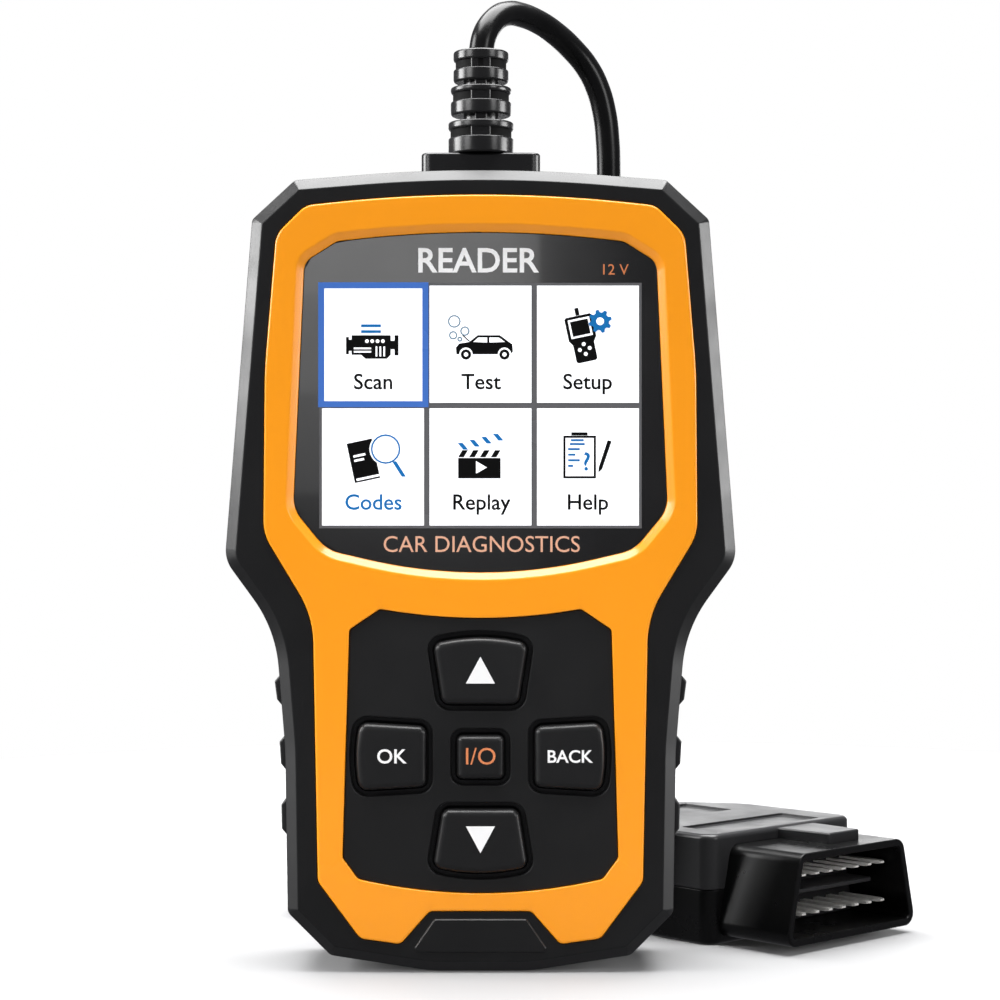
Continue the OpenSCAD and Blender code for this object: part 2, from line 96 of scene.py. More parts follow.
CORD_D = 4.6
LIE = 2.9
RELIEF_TOP = 167.0
COIL_CENTER = (-9.0, 52.0)
COIL_TURNS = 3.5
COIL_STEPS = 16
COIL_OUTER = 27.14
COIL_RISE = (1.5, 2.1)  # turns between which the cord climbs to the second layer
COIL_TURNING = 1.8  # turns after which it winds outwards again
TUBE_ROUTE = [
    (0, 0, RELIEF_TOP), (0.5, 0.6, 169.8), (1.6, 1.9, 172.3), (3.2, 3.8, 174.3), (5, 6, 175.4),
    (7.4, 8.9, 175.7), (10.4, 12.2, 175.2), (14, 15.5, 173.5), (17.3, 18, 171), (20.2, 19.5, 167.8),
    (22.2, 20, 164), (23.5, 20, 159.4), (24.2, 20, 153.6), (24.4, 20, 146), (24.4, 20, 134),
    (24.4, 20, 122), (24.4, 20, 110), (24.4, 20, 98), (24.4, 20, 86), (24.4, 20, 74),
    (24.4, 20.1, 62), (24.4, 20.2, 50), (24.4, 20.4, 38), (24.4, 20.8, 28), (24.2, 21.3, 20),
    (22.8, 22, 13.6), (19.8, 22.8, 8.4), (15.4, 23.6, 4.8), (10, 24.3, 3.2), (3, 24.7, LIE),
    (-4, 24.9, LIE),
]
TAIL_ROUTE = [
    (-4, 78.7, 7.6), (0.8, 78.7, 8), (5.2, 78.7, 8.6), (9, 78.2, 9.3),
    (12.4, 76.7, 9.9), (15.4, 74.35, 10.4), (18.35, 71.24, 10.5),
]


def smooth_step(value, low, high):
    t = min(1.0, max(0.0, (value - low) / (high - low)))
    return t * t * (3.0 - 2.0 * t)


def coil_point(turn):
    """A point of the coil: inwards on the floor, then outwards in a second layer on top."""
    if turn < COIL_TURNING:
        radius = COIL_OUTER - CORD_D * turn
    else:
        radius = COIL_OUTER + CORD_D * (turn - 2.0 * COIL_TURNING)
    angle = math.radians(270.0 - 360.0 * turn)
    height = LIE + CORD_D * smooth_step(turn, *COIL_RISE)
    return (*around(*COIL_CENTER, radius, angle), height)


def cord_points():
    count = int(COIL_TURNS * COIL_STEPS)
    coil = [coil_point(i / COIL_STEPS) for i in range(count + 1)]
    return TUBE_ROUTE + coil + TAIL_ROUTE


def make_cord_curve():
    data = bpy.data.curves.new("cord", "CURVE")
    data.dimensions = "3D"
    data.resolution_u = 5
    data.bevel_depth = CORD_D / 2 * MM
    data.bevel_resolution = 5
    data.use_fill_caps = True
    points = cord_points()
    spline = data.splines.new("BEZIER")
    spline.bezier_points.add(len(points) - 1)
    for knot, point in zip(spline.bezier_points, points):
        knot.co = Vector(point) * MM
        knot.handle_left_type = "AUTO"
        knot.handle_right_type = "AUTO"
    return link_object("cord", data)


cord = make_cord_curve()

# ---- outlines, right half from the top down: (x, z, corner radius) ----

CASE_HALF = [
    (0, 144.87, 270), (33.4, 142.2, 1.5), (41.1, 135.1, 1.5), (46, 73.9, 6),
    (36.9, 61.4, 24), (35.15, 40, 60), (34.7, 10.5, 2), (27, 2.8, 2), (9, 0, 30),
]
PLATE_HALF = [
    (0, 140.8, 250), (31.3, 137.4, 4), (36.6, 132.2, 5), (38.6, 108, 100), (38.85, 78.6, 9),
    (30, 63.9, 18), (29.1, 16.4, 2.5), (21.5, 6.2, 2), (14.3, 5.2, 1.5), (9.1, 11.1, 1.5),
]
WINDOW_HALF = [
    (0, 133.9, 200), (25.7, 131.1, 3), (31.6, 127.4, 3), (33.6, 83, 6), (27.6, 75.7, 7),
    (0, 69.2, 90),
]
PANEL_HALF = [
    (0, 62.3, 100), (18, 65.2, 1), (23.5, 61.5, 1), (24.7, 20.6, 1), (21.9, 16.8, 1.5),
    (0, 12.2, 95),
]
UP_HALF = [(0, 60.7, 32), (8.5, 59.1, 1.6), (6.8, 48.1, 1.6)]
DOWN_HALF = [(6.8, 29.4, 1.6), (8.5, 18.9, 1.6), (0, 17.2, 32)]
CENTER_HALF = [(4.2, 42.6, 1), (4.2, 34.7, 1)]
SIDE_KEY = [
    (9.7, 44.2, 1.4), (21.7, 44.9, 1.8), (22.6, 38.7, 26), (21.7, 32.6, 1.8), (9.7, 33.3, 1.4),
]
FOOT_HALF = [(8.2, 9.6, 0.6), (12.2, 3.8, 0.6)]
BACK_PLATE_HALF = [(26, 96, 2), (26, 58, 2)]

# Depths along Y, from the front to the back
KEY_FRONT = -13.0
PLATE_FRONT = -12.4
RIM = -12.0
PANEL_FRONT = -11.9
LENS_FRONT = -11.2
SEAT = -10.2
WALL_BACK = -8.4
KEY_BACK = -8.3
FLANGE_BACK = -7.5
PLUNGER_TIP = -6.4
REAR = 13.0
# Widths and gaps of the case
WALL = 2.0
PARTING = 0.05
FRONT_BEVEL = 2.05
BACK_ROUNDING = 3.0
WINDOW_BAND = 1.3
KEY_MOAT = 1.2
KEY_FLANGE = 1.2
PLUNGER_R = 2.0
LCD_W = 57.8
LCD_H = 44.0
LCD_Z = 101.6
SCREWS = [(33.5, 133.5), (-33.5, 133.5), (27.0, 14.0), (-27.0, 14.0)]


def flip(half):
    """The left half of an outline, from its right half."""
    return [(-x, z, r) for x, z, r in reversed(half) if x > 0]


def both(half):
    return half + flip(half)


def bar(x0, z0, x1, z1, radius):
    """The clockwise corners of a rounded rectangle."""
    return [(x0, z1, radius), (x1, z1, radius), (x1, z0, radius), (x0, z0, radius)]


def arc_steps(radius):
    """How many straight steps a corner of this radius gets."""
    if radius > 40:
        return 22
    return 12 if radius > 7 else 7


def unit(x, y):
    size = math.hypot(x, y)
    return (x / size, y / size)


def inset(corners, d):
    """Corners moved inwards by d with concentric radii; each keeps its number of arc steps."""
    moved = []
    for i, (x, z, radius) in enumerate(corners):
        before = corners[i - 1]
        after = corners[(i + 1) % len(corners)]
        u = unit(x - before[0], z - before[1])
        w = unit(after[0] - x, after[1] - z)
        share = d / (1.0 + u[0] * w[0] + u[1] * w[1])
        outer = u[0] * w[1] - u[1] * w[0] < 0
        grown = max(0.05, radius + (-d if outer else d))
        moved.append((x + share * (u[1] + w[1]), z - share * (u[0] + w[0]), grown, arc_steps(radius)))
    return moved


def corner_arc(a, corner, b):
    x, z, radius, steps = corner
    u = unit(a[0] - x, a[1] - z)
    w = unit(b[0] - x, b[1] - z)
    half = math.acos(max(-1.0, min(1.0, u[0] * w[0] + u[1] * w[1]))) / 2
    across = unit(u[0] + w[0], u[1] + w[1])
    reach = radius / math.sin(half)
    middle = (x + across[0] * reach, z + across[1] * reach)
    leg = radius / math.tan(half)
    start = math.atan2(z + u[1] * leg - middle[1], x + u[0] * leg - middle[0])
    end = math.atan2(z + w[1] * leg - middle[1], x + w[0] * leg - middle[0])
    sweep = (end - start + math.pi) % (2 * math.pi) - math.pi
    return [around(*middle, radius, start + sweep * i / steps) for i in range(steps + 1)]


def ring(corners, d=0.0):
    """A closed outline: the clockwise corners moved inwards by d, then rounded."""
    moved = inset(corners, d)
    points = []
    for i, corner in enumerate(moved):
        points += corner_arc(moved[i - 1], corner, moved[(i + 1) % len(moved)])
    return points


def circle(x, z, radius, steps=32):
    return [around(x, z, radius, 2 * math.pi * i / steps) for i in range(steps)]


CASE = both(CASE_HALF)
PLATE = both(PLATE_HALF)
WINDOW = both(WINDOW_HALF)
PANEL = both(PANEL_HALF)
FOOT = both(FOOT_HALF)
BACK_PLATE = both(BACK_PLATE_HALF)
KEYS = {
    "up_key": (both(UP_HALF), (0.0, 54.0)),
    "down_key": (both(DOWN_HALF), (0.0, 24.0)),
    "center_key": (both(CENTER_HALF), (0.0, 38.7)),
    "exit_key": (SIDE_KEY, (15.9, 38.7)),
    "enter_key": (flip(SIDE_KEY), (-15.9, 38.7)),
}

# ---- mesh building ----

# Places turn (across, up, depth) in millimetres into metres.
FRONTAL = Matrix(((MM, 0, 0, 0), (0, 0, MM, 0), (0, MM, 0, 0), (0, 0, 0, 1)))
UPRIGHT = Matrix.Diagonal((MM, MM, MM, 1.0))
PLUG = (
    UPRIGHT
    @ Matrix.Translation((59.1, 28.3, 0.0))
    @ Matrix.Rotation(math.radians(-46.5), 4, "Z")
)
# The plug's cross-section: (across, up, along the plug)
PLUG_ALONG = PLUG @ Matrix(((0, 0, 1, 0), (1, 0, 0, 0), (0, 1, 0, 0), (0, 0, 0, 1)))


def evaluated_mesh(piece):
    """An object's mesh with its modifiers or its lettering worked out."""
    bpy.context.view_layer.update()
    graph = bpy.context.evaluated_depsgraph_get()
    return bpy.data.meshes.new_from_object(piece.evaluated_get(graph))


def put_piece(name, data, material, body="reader", replaced=(), sharp=38.0):
    """Links a piece, gives it crisp edges with smooth roundings, puts it on its body and hides the CAD
    parts it replaces.
    """
    piece = link_object(name, data)
    if piece.type == "MESH":
        data.shade_smooth()
        data.set_sharp_from_angle(angle=math.radians(sharp))
        weighted = piece.modifiers.new("even_normals", "WEIGHTED_NORMAL")
        weighted.keep_sharp = True
        weighted.weight = 90
    data.materials.clear()
    data.materials.append(material)
    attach(piece, body)
    if replaced:
        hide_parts(*replaced)
    return piece


class Skin:
    """One piece, skinned from closed outlines drawn at depths."""

    def __init__(self, place=FRONTAL):
        self.mesh = bmesh.new()
        self.place = place

    def loop(self, points, depth):
        return [self.mesh.verts.new(self.place @ Vector((p[0], p[1], depth))) for p in points]

    def wall(self, levels):
        """Skins through (points, depth) levels and returns the first and the last loop."""
        loops = [self.loop(points, depth) for points, depth in levels]
        for lower, upper in zip(loops, loops[1:]):
            for i in range(len(lower)):
                j = (i + 1) % len(lower)
                self.mesh.faces.new((lower[i], lower[j], upper[j], upper[i]))
        return loops[0], loops[-1]

    def cap(self, *loops):
        """Fills the flat face between an outline and the holes in it."""
        edges = []
        for loop in loops:
            for i in range(len(loop)):
                pair = (loop[i - 1], loop[i])
                edges.append(self.mesh.edges.get(pair) or self.mesh.edges.new(pair))
        bmesh.ops.triangle_fill(self.mesh, edges=edges, use_beauty=True, use_dissolve=False)

    def solid(self, levels):
        """A closed solid through levels, with both ends filled."""
        first, last = self.wall(levels)
        self.cap(first)
        self.cap(last)

    def data(self, name):
        bmesh.ops.recalc_face_normals(self.mesh, faces=self.mesh.faces)
        data = bpy.data.meshes.new(name)
        self.mesh.to_mesh(data)
        self.mesh.free()
        return data

    def piece(self, name, material, slot, body="reader", replaced=(), sharp=38.0):
        return put_piece(name, self.data(name), material, body, replaced, sharp)


def levels(corners, pairs):
    """Levels of one outline from (inset, depth) pairs."""
    return [(ring(corners, d), depth) for d, depth in pairs]


def circles(x, z, pairs, steps=32):
    """Levels of a round boss, hole or lathed shape from (radius, depth) pairs."""
    return [(circle(x, z, radius, steps), depth) for radius, depth in pairs]


def round_edge(d, depth, across, along, steps=4):
    """(inset, depth) pairs of a rounding, from the face at depth to the wall at inset d.

    across is how far the face's edge lies inside the wall, along is where the wall starts past the face.
    """
    turns = [math.pi / 2 * i / steps for i in range(steps + 1)]
    return [(d + across * (1 - math.sin(t)), depth + along * (1 - math.cos(t))) for t in turns]


# ---- materials ----


def shader(material):
    return next(n for n in material.node_tree.nodes if n.type == "BSDF_PRINCIPLED")


def set_inputs(node, **values):
    """Sets a node's inputs; an underscore stands for the space in an input's name."""
    for name, value in values.items():
        node.inputs[name.replace("_", " ")].default_value = value


def noise(tree, scale, detail=3.0, stretch=None):
    """A noise texture over the object's own coordinates; scale is in features per metre."""
    coordinates = tree.nodes.new("ShaderNodeTexCoord")
    texture = tree.nodes.new("ShaderNodeTexNoise")
    set_inputs(texture, Scale=scale, Detail=detail)
    source = coordinates.outputs["Object"]
    if stretch:
        mapping = tree.nodes.new("ShaderNodeMapping")
        set_inputs(mapping, Scale=stretch)
        tree.links.new(source, mapping.inputs["Vector"])
        source = mapping.outputs["Vector"]
    tree.links.new(source, texture.inputs["Vector"])
    return texture.outputs["Fac"]


def spread(tree, source, low, high, start=0.3, end=0.7):
    """Maps a source, by default the middle range of a noise, onto a range of values."""
    remap = tree.nodes.new("ShaderNodeMapRange")
    set_inputs(remap, From_Min=start, From_Max=end, To_Min=low, To_Max=high)
    tree.links.new(source, remap.inputs["Value"])
    return remap.outputs["Result"]


def finish(
        name, colour, roughness, grain=0.3, relief=0.01, vary=0.12, wander=0.05, stretch=None, **sockets):
    """A moulded or coated surface.

    grain is the size of its texture and relief the height of it, in millimetres. vary is how far the
    colour changes over the surface, and wander how far the roughness does.
    """
    material = bpy.data.materials.new(name)
    material.use_nodes = True
    tree = material.node_tree
    bsdf = shader(material)
    cloudy = noise(tree, 35.0)
    mix = tree.nodes.new("ShaderNodeMix")
    mix.data_type = "RGBA"
    darker = [c * (1 - vary) for c in colour]
    lighter = [min(1.0, c * (1 + vary)) for c in colour]
    set_inputs(mix, A=(*darker, 1.0), B=(*lighter, 1.0))
    tree.links.new(spread(tree, cloudy, 0.0, 1.0), mix.inputs["Factor"])
    tree.links.new(mix.outputs["Result"], bsdf.inputs["Base Color"])
    smudges = spread(tree, noise(tree, 120.0, 4.0), roughness - wander, roughness + wander)
    tree.links.new(smudges, bsdf.inputs["Roughness"])
    if relief:
        bump = tree.nodes.new("ShaderNodeBump")
        set_inputs(bump, Strength=1.0, Distance=relief * MM)
        tree.links.new(noise(tree, 1.0 / (grain * MM), 2.0, stretch), bump.inputs["Height"])
        tree.links.new(bump.outputs["Normal"], bsdf.inputs["Normal"])
    set_inputs(bsdf, **sockets)
    return material


def grey(value, blue=0.05):
    return (value, value, value * (1 + blue))


CASE_BLACK = finish("case_black", grey(0.008), 0.33, 0.28, 0.004, Specular_IOR_Level=0.42)
REAR_BLACK = finish("case_black_rear", grey(0.007), 0.4, 0.28, 0.01)
ORANGE = finish(
    "orange", (0.97, 0.33, 0.004), 0.3, 0.3, 0.001, 0.01, 0.02, Coat_Weight=0.4, Coat_Roughness=0.12)
LENS = finish("lens", grey(0.005), 0.14, 2.0, 0.0, 0.08, 0.02, Coat_Weight=0.5, Coat_Roughness=0.03)
PANEL_BLACK = finish("panel_black", grey(0.0085), 0.45, 0.2, 0.005, Specular_IOR_Level=0.4)
KEY_RUBBER = finish("key_rubber", grey(0.0095), 0.36, 0.2, 0.005, Specular_IOR_Level=0.45)
GRIP_RUBBER = finish("grip_rubber", grey(0.012), 0.42, 0.25, 0.012)
RELIEF_RUBBER = finish("relief_rubber", grey(0.009), 0.24, 0.3, 0.004)
# Painted shade: a darker, matte rubber for the cores inside the slots of the strain relief.
SLOT_PAINTED_SHADE = finish("slot_painted_shade", grey(0.002), 0.7, 0.3, 0.004, Specular_IOR_Level=0.15)
CORD_JACKET = finish("cord_jacket", grey(0.003), 0.27, 0.4, 0.003, Specular_IOR_Level=0.3)
# Painted light: a lighter grey than the plug's black, for its top cover and tab, so that the plug's top
# looks lit from above.
PLUG_TOP_SHEEN = finish("plug_grey", grey(0.022), 0.34, 0.22, 0.01)
PLUG_BLACK = finish("plug_black", grey(0.0025), 0.3, 0.22, 0.006, Specular_IOR_Level=0.25)
PIN_METAL = finish("pin_metal", (0.95, 0.93, 0.88), 0.4, 0.3, 0.002, 0.05, Metallic=0.3)
# Painted highlight: a lighter grey than the plug's black, so that the divider's edge between the blade
# rows reads as a light line.
PIN_BLOCK = finish("pin_block", grey(0.035), 0.45, 0.22, 0.006, Specular_IOR_Level=0.3)
STEEL = finish("steel", grey(0.55), 0.32, 0.2, 0.004, 0.1, Metallic=1.0, stretch=(1.0, 1.0, 8.0))
FOAM = finish("foam", grey(0.02), 0.9, 0.5, 0.05)
SCREEN_GLASS = finish("screen_glass", (0.75, 0.8, 0.85), 0.08, 2.0, 0.0, 0.03, 0.02)
FLEX = finish("flex", (0.55, 0.26, 0.04), 0.35, 0.6, 0.01)
SOCKET = finish("socket_plastic", (0.8, 0.77, 0.68), 0.45, 0.3, 0.005)
BOARD = finish("board_green", (0.015, 0.14, 0.045), 0.35, 0.8, 0.02, 0.25)
CHIP = finish("chip_black", grey(0.02), 0.5, 0.15, 0.008)
SOLDER = finish("solder_metal", (0.7, 0.7, 0.68), 0.3, 0.4, 0.01, Metallic=1.0)
WIRE = finish("wire", (0.45, 0.03, 0.025), 0.35, 0.4, 0.004)
PLATE_GREY = finish("plate_grey", grey(0.16), 0.4, 0.25, 0.004, 0.06)


def woven(name, colour, pitch):
    """A flat woven strap: two crossing sets of threads."""
    material = finish(name, colour, 0.8, 0.3, 0.0, 0.2)
    tree = material.node_tree
    coordinates = tree.nodes.new("ShaderNodeTexCoord")
    height = tree.nodes.new("ShaderNodeMath")
    height.operation = "MULTIPLY"
    for index, direction in enumerate(("X", "Z")):
        wave = tree.nodes.new("ShaderNodeTexWave")
        wave.bands_direction = direction
        set_inputs(wave, Scale=0.31 / (pitch * MM))
        tree.links.new(coordinates.outputs["Object"], wave.inputs["Vector"])
        tree.links.new(wave.outputs["Fac"], height.inputs[index])
    bump = tree.nodes.new("ShaderNodeBump")
    set_inputs(bump, Distance=0.12 * MM)
    tree.links.new(height.outputs["Value"], bump.inputs["Height"])
    tree.links.new(bump.outputs["Normal"], shader(material).inputs["Normal"])
    return material


TIE_FABRIC = woven("tie_fabric", grey(0.02), 0.7)


def glowing(name, colour, strength):
    """A backlit part of the picture under the lens."""
    return finish(
        name, colour, 0.25, 0.5, 0.0, 0.02, 0.03,
        Emission_Color=(*colour, 1.0), Emission_Strength=strength,
    )


SCREEN_WHITE = glowing("screen_white", (0.9, 0.91, 0.93), 0.6)
SCREEN_GRID = glowing("screen_grid", (0.105, 0.105, 0.11), 0.15)
SCREEN_BLUE = glowing("screen_blue", (0.048, 0.14, 0.46), 0.25)
ICON_BLUE = glowing("icon_blue", (0.006, 0.15, 0.42), 0.15)
ICON_GREY = glowing("icon_grey", (0.13, 0.22, 0.3), 0.15)
ICON_BLACK = finish("icon_black", grey(0.003), 0.4, 0.5, 0.0, 0.05, Specular_IOR_Level=0.15)
PRINT_ORANGE = finish("print_orange", (0.75, 0.24, 0.09), 0.4, 0.3, 0.0, 0.05)
PRINT_PALE = finish("print_pale", (0.78, 0.42, 0.28), 0.4, 0.3, 0.0, 0.05)
PRINT_WHITE = finish("print_white", (0.9, 0.9, 0.9), 0.45, 0.3, 0.0, 0.02)

# ---- case ----


def make_front_shell():
    skin = Skin()
    outer = [
        (FRONT_BEVEL + 0.25, RIM), (FRONT_BEVEL + 0.06, RIM + 0.02), (FRONT_BEVEL - 0.12, RIM + 0.12),
        (0.12, RIM + FRONT_BEVEL - 0.12), (0.02, RIM + FRONT_BEVEL + 0.06), (0, RIM + FRONT_BEVEL + 0.3),
        (0, -0.4), (0.08, -0.14), (0.3, 0),
    ]
    rim, parting = skin.wall(levels(CASE, outer))
    pocket, floor = skin.wall(levels(PLATE, round_edge(-0.1, RIM, -0.15, 0.15) + [(-0.1, SEAT)]))
    foot, foot_top = skin.wall(levels(FOOT, [
        (-0.3, RIM), (-0.12, RIM - 0.05), (0.02, RIM - 0.22), (0.12, RIM - 0.29), (0.35, RIM - 0.3),
    ]))
    skin.cap(rim, pocket, foot)
    skin.cap(foot_top)
    half_w = LCD_W / 2 + 1
    half_h = LCD_H / 2 + 1
    opening = both([(half_w, LCD_Z + half_h, 0.5), (half_w, LCD_Z - half_h, 0.5)])
    holes = [skin.wall(levels(opening, [(0, SEAT), (0, WALL_BACK)]))]
    for corners, _middle in KEYS.values():
        holes.append(skin.wall(levels(corners, [(-0.4, SEAT), (-0.4, WALL_BACK)])))
    skin.cap(floor, *[hole[0] for hole in holes])
    posts = [skin.wall(circles(x, z, [(3.0, WALL_BACK), (3.0, -PARTING)])) for x, z in SCREWS]
    bores = [skin.wall(circles(x, z, [(1.3, -PARTING), (1.3, -7.0)])) for x, z in SCREWS]
    for post, bore in zip(posts, bores):
        skin.cap(post[1], bore[0])
        skin.cap(bore[1])
    ceiling, rest = skin.wall(levels(CASE, [(WALL, WALL_BACK), (WALL, 0)]))
    skin.cap(ceiling, *[hole[1] for hole in holes], *[post[0] for post in posts])
    skin.cap(parting, rest)
    skin.piece("front_shell_skin", CASE_BLACK, "case_black", replaced=["front_shell"], sharp=30)


def capsule(z, half_width, radius):
    """A round-ended slot across the back."""
    return both([(half_width, z + radius, radius - 0.01), (half_width, z - radius, radius - 0.01)])


GROOVE_ZS = [22.0 + 5.0 * i for i in range(6)]


def make_rear_shell():
    skin = Skin()
    rounding_start = REAR - BACK_ROUNDING
    outer = [(0.3, 0), (0.08, 0.14), (0, 0.4), (0, rounding_start)]
    outer += [(BACK_ROUNDING * (1 - math.cos(t)), rounding_start + BACK_ROUNDING * math.sin(t))
              for t in [math.pi / 2 * i / 8 for i in range(1, 9)]]
    parting, back = skin.wall(levels(CASE, outer))
    recess, recess_floor = skin.wall(
        levels(BACK_PLATE, [(-0.2, REAR), (-0.05, REAR - 0.05), (0, REAR - 0.2), (0, REAR - 0.5)]))
    skin.cap(recess_floor)
    in_back = [recess]
    for z in GROOVE_ZS:
        slot = capsule(z, 20.0, 0.9)
        lip, bottom = skin.wall(levels(slot, [
            (-0.15, REAR), (0, REAR - 0.08), (0.25, REAR - 0.45), (0.5, REAR - 0.55),
        ]))
        skin.cap(bottom)
        in_back.append(lip)
    wall_front = REAR - WALL
    inside, inner_floor = skin.wall(levels(CASE, [(WALL, 0), (WALL, wall_front)]))
    posts = []
    for x, z in SCREWS:
        mouth, seat = skin.wall(circles(x, z, [
            (3.1, REAR), (2.95, REAR - 0.1), (2.9, REAR - 0.3), (2.9, 6)]))
        bore = skin.wall(circles(x, z, [(1.5, 6), (1.5, PARTING)]))
        post = skin.wall(circles(x, z, [(3.7, PARTING), (3.7, wall_front)]))
        skin.cap(seat, bore[0])
        skin.cap(bore[1], post[0])
        posts.append(post[1])
        in_back.append(mouth)
    skin.cap(back, *in_back)
    skin.cap(inner_floor, *posts)
    skin.cap(parting, inside)
    skin.piece("rear_shell_skin", REAR_BLACK, "case_black_rear", replaced=["rear_shell"], sharp=30)


def make_back_plate():
    skin = Skin()
    skin.solid(levels(BACK_PLATE, [
        (0.08, REAR - 0.49), (0.08, REAR - 0.25), (0.14, REAR - 0.14), (0.3, REAR - 0.1),
    ]))
    skin.piece("back_plate_skin", PLATE_GREY, "plate_grey", replaced=["back_plate"])


def make_face_plate():
    skin = Skin()
    rim, back = skin.wall(levels(PLATE, round_edge(0, PLATE_FRONT, 0.45, 0.45, 5) + [(0, SEAT)]))
    band = [
        (-WINDOW_BAND - 0.3, PLATE_FRONT), (-WINDOW_BAND - 0.08, PLATE_FRONT + 0.03),
        (-WINDOW_BAND + 0.12, PLATE_FRONT + 0.14), (-0.1, LENS_FRONT - 0.12), (0, LENS_FRONT), (0, SEAT),
    ]
    window = skin.wall(levels(WINDOW, band))
    panel = skin.wall(levels(PANEL, round_edge(0, PLATE_FRONT, -0.22, 0.22) + [(0, SEAT)]))
    skin.cap(rim, window[0], panel[0])
    skin.cap(back, window[1], panel[1])
    skin.piece("face_plate_skin", ORANGE, "orange", replaced=["face_plate"], sharp=45)


def make_lens():
    skin = Skin()
    skin.solid(levels(WINDOW, round_edge(0.05, LENS_FRONT, 0.12, 0.12) + [(0.05, SEAT)]))
    return skin.piece("lens_skin", LENS, "lens", replaced=["screen_lens"])


def make_keypad_panel():
    skin = Skin()
    rim, back = skin.wall(levels(PANEL, round_edge(0.06, PANEL_FRONT, 0.25, 0.25) + [(0.06, SEAT)]))
    fronts = [rim]
    backs = [back]
    for corners, _middle in KEYS.values():
        moat = round_edge(-KEY_MOAT + 0.1, PANEL_FRONT, -0.3, 0.3) + [(-KEY_MOAT + 0.1, SEAT)]
        front, bottom = skin.wall(levels(corners, moat))
        fronts.append(front)
        backs.append(bottom)
    skin.cap(*fronts)
    skin.cap(*backs)
    skin.piece("keypad_panel_skin", PANEL_BLACK, "panel_black", replaced=["keypad_panel"])


def make_key(name, corners, middle):
    """A crowned cap, a flange behind the front wall and a plunger."""
    skin = Skin()
    cap = [
        (1.25, KEY_FRONT), (1.05, KEY_FRONT + 0.02), (0.85, KEY_FRONT + 0.06), (0.65, KEY_FRONT + 0.13),
        (0.46, KEY_FRONT + 0.25), (0.24, KEY_FRONT + 0.47), (0.08, KEY_FRONT + 0.8),
        (0, KEY_FRONT + 1.2), (0, KEY_BACK), (-KEY_FLANGE, KEY_BACK), (-KEY_FLANGE, FLANGE_BACK),
    ]
    crown, flange = skin.wall(levels(corners, cap))
    plunger = skin.wall(circles(*middle, [(PLUNGER_R, FLANGE_BACK), (PLUNGER_R, PLUNGER_TIP)], 24))
    skin.cap(crown)
    skin.cap(flange, plunger[0])
    skin.cap(plunger[1])
    skin.piece(name + "_cap", KEY_RUBBER, "key_rubber", name, [name], 50)


make_front_shell()
make_rear_shell()
make_back_plate()
make_face_plate()
lens = make_lens()
make_keypad_panel()
for key_name, (key_corners, key_middle) in KEYS.items():
    make_key(key_name, key_corners, key_middle)

# ---- lettering, marks and the picture on the screen ----

INK = 0.03  # thickness of one printed layer


def box_points(x0, z0, x1, z1):
    return [(x0, z0), (x0, z1), (x1, z1), (x1, z0)]


def lettering(name, words, x, z, height, front, material, body="reader", weight=0.0, wide=1.0):
    """Printed words, centred on x and z, with capitals of the given height."""
    data = bpy.data.curves.new(name, "FONT")
    data.body = words
    data.align_x = "CENTER"
    data.align_y = "CENTER"
    data.size = height / 0.7
    data.offset = weight
    data.extrude = INK / 2
    data.resolution_u = 4
    holder = link_object(name + "_words", data)
    mesh = evaluated_mesh(holder)
    bpy.data.objects.remove(holder)
    stand = Matrix.Rotation(math.radians(90.0), 4, "X")
    widen = Matrix.Diagonal((wide, 1.0, 1.0, 1.0))
    mesh.transform(UPRIGHT @ Matrix.Translation((x, front + INK / 2, z)) @ stand @ widen)
    mesh.name = name
    return put_piece(name, mesh, material, body)


def shapes(name, polygons, front, material, slot, body="reader"):
    """Flat printed shapes of one colour."""
    skin = Skin()
    for points in polygons:
        skin.solid([(points, front), (points, front + INK)])
    return skin.piece(name, material, slot, body)


KEY_INK = KEY_FRONT - 0.01
ARROW = [(-2.6, -2.3), (2.6, -2.3), (0.0, 2.5)]
shapes("up_mark", [[(x, z + 54.2) for x, z in ARROW]], KEY_INK, PRINT_WHITE, "key_rubber", "up_key")
shapes("down_mark", [[(x, 24.1 - z) for x, z in ARROW]], KEY_INK, PRINT_WHITE, "key_rubber", "down_key")
lettering("ok_mark", "OK", -15.9, 38.75, 2.5, KEY_INK, PRINT_WHITE, "enter_key", 0.05)
lettering("back_mark", "BACK", 15.9, 38.75, 2.2, KEY_INK, PRINT_WHITE, "exit_key", 0.05)
lettering("center_mark", "I/O", 0.0, 38.75, 3.0, KEY_INK, PRINT_ORANGE, "center_key")

SCREEN = LENS_FRONT - 0.02
lettering("title", "READER", -0.6, 127.4, 4.3, SCREEN, PRINT_WHITE, weight=0.1, wide=0.98)
lettering("supply_note", "12 V", 24.0, 125.9, 1.9, SCREEN, PRINT_ORANGE)
lettering("subtitle", "CAR DIAGNOSTICS", 0.2, 76.6, 2.9, SCREEN, PRINT_PALE, wide=0.98)


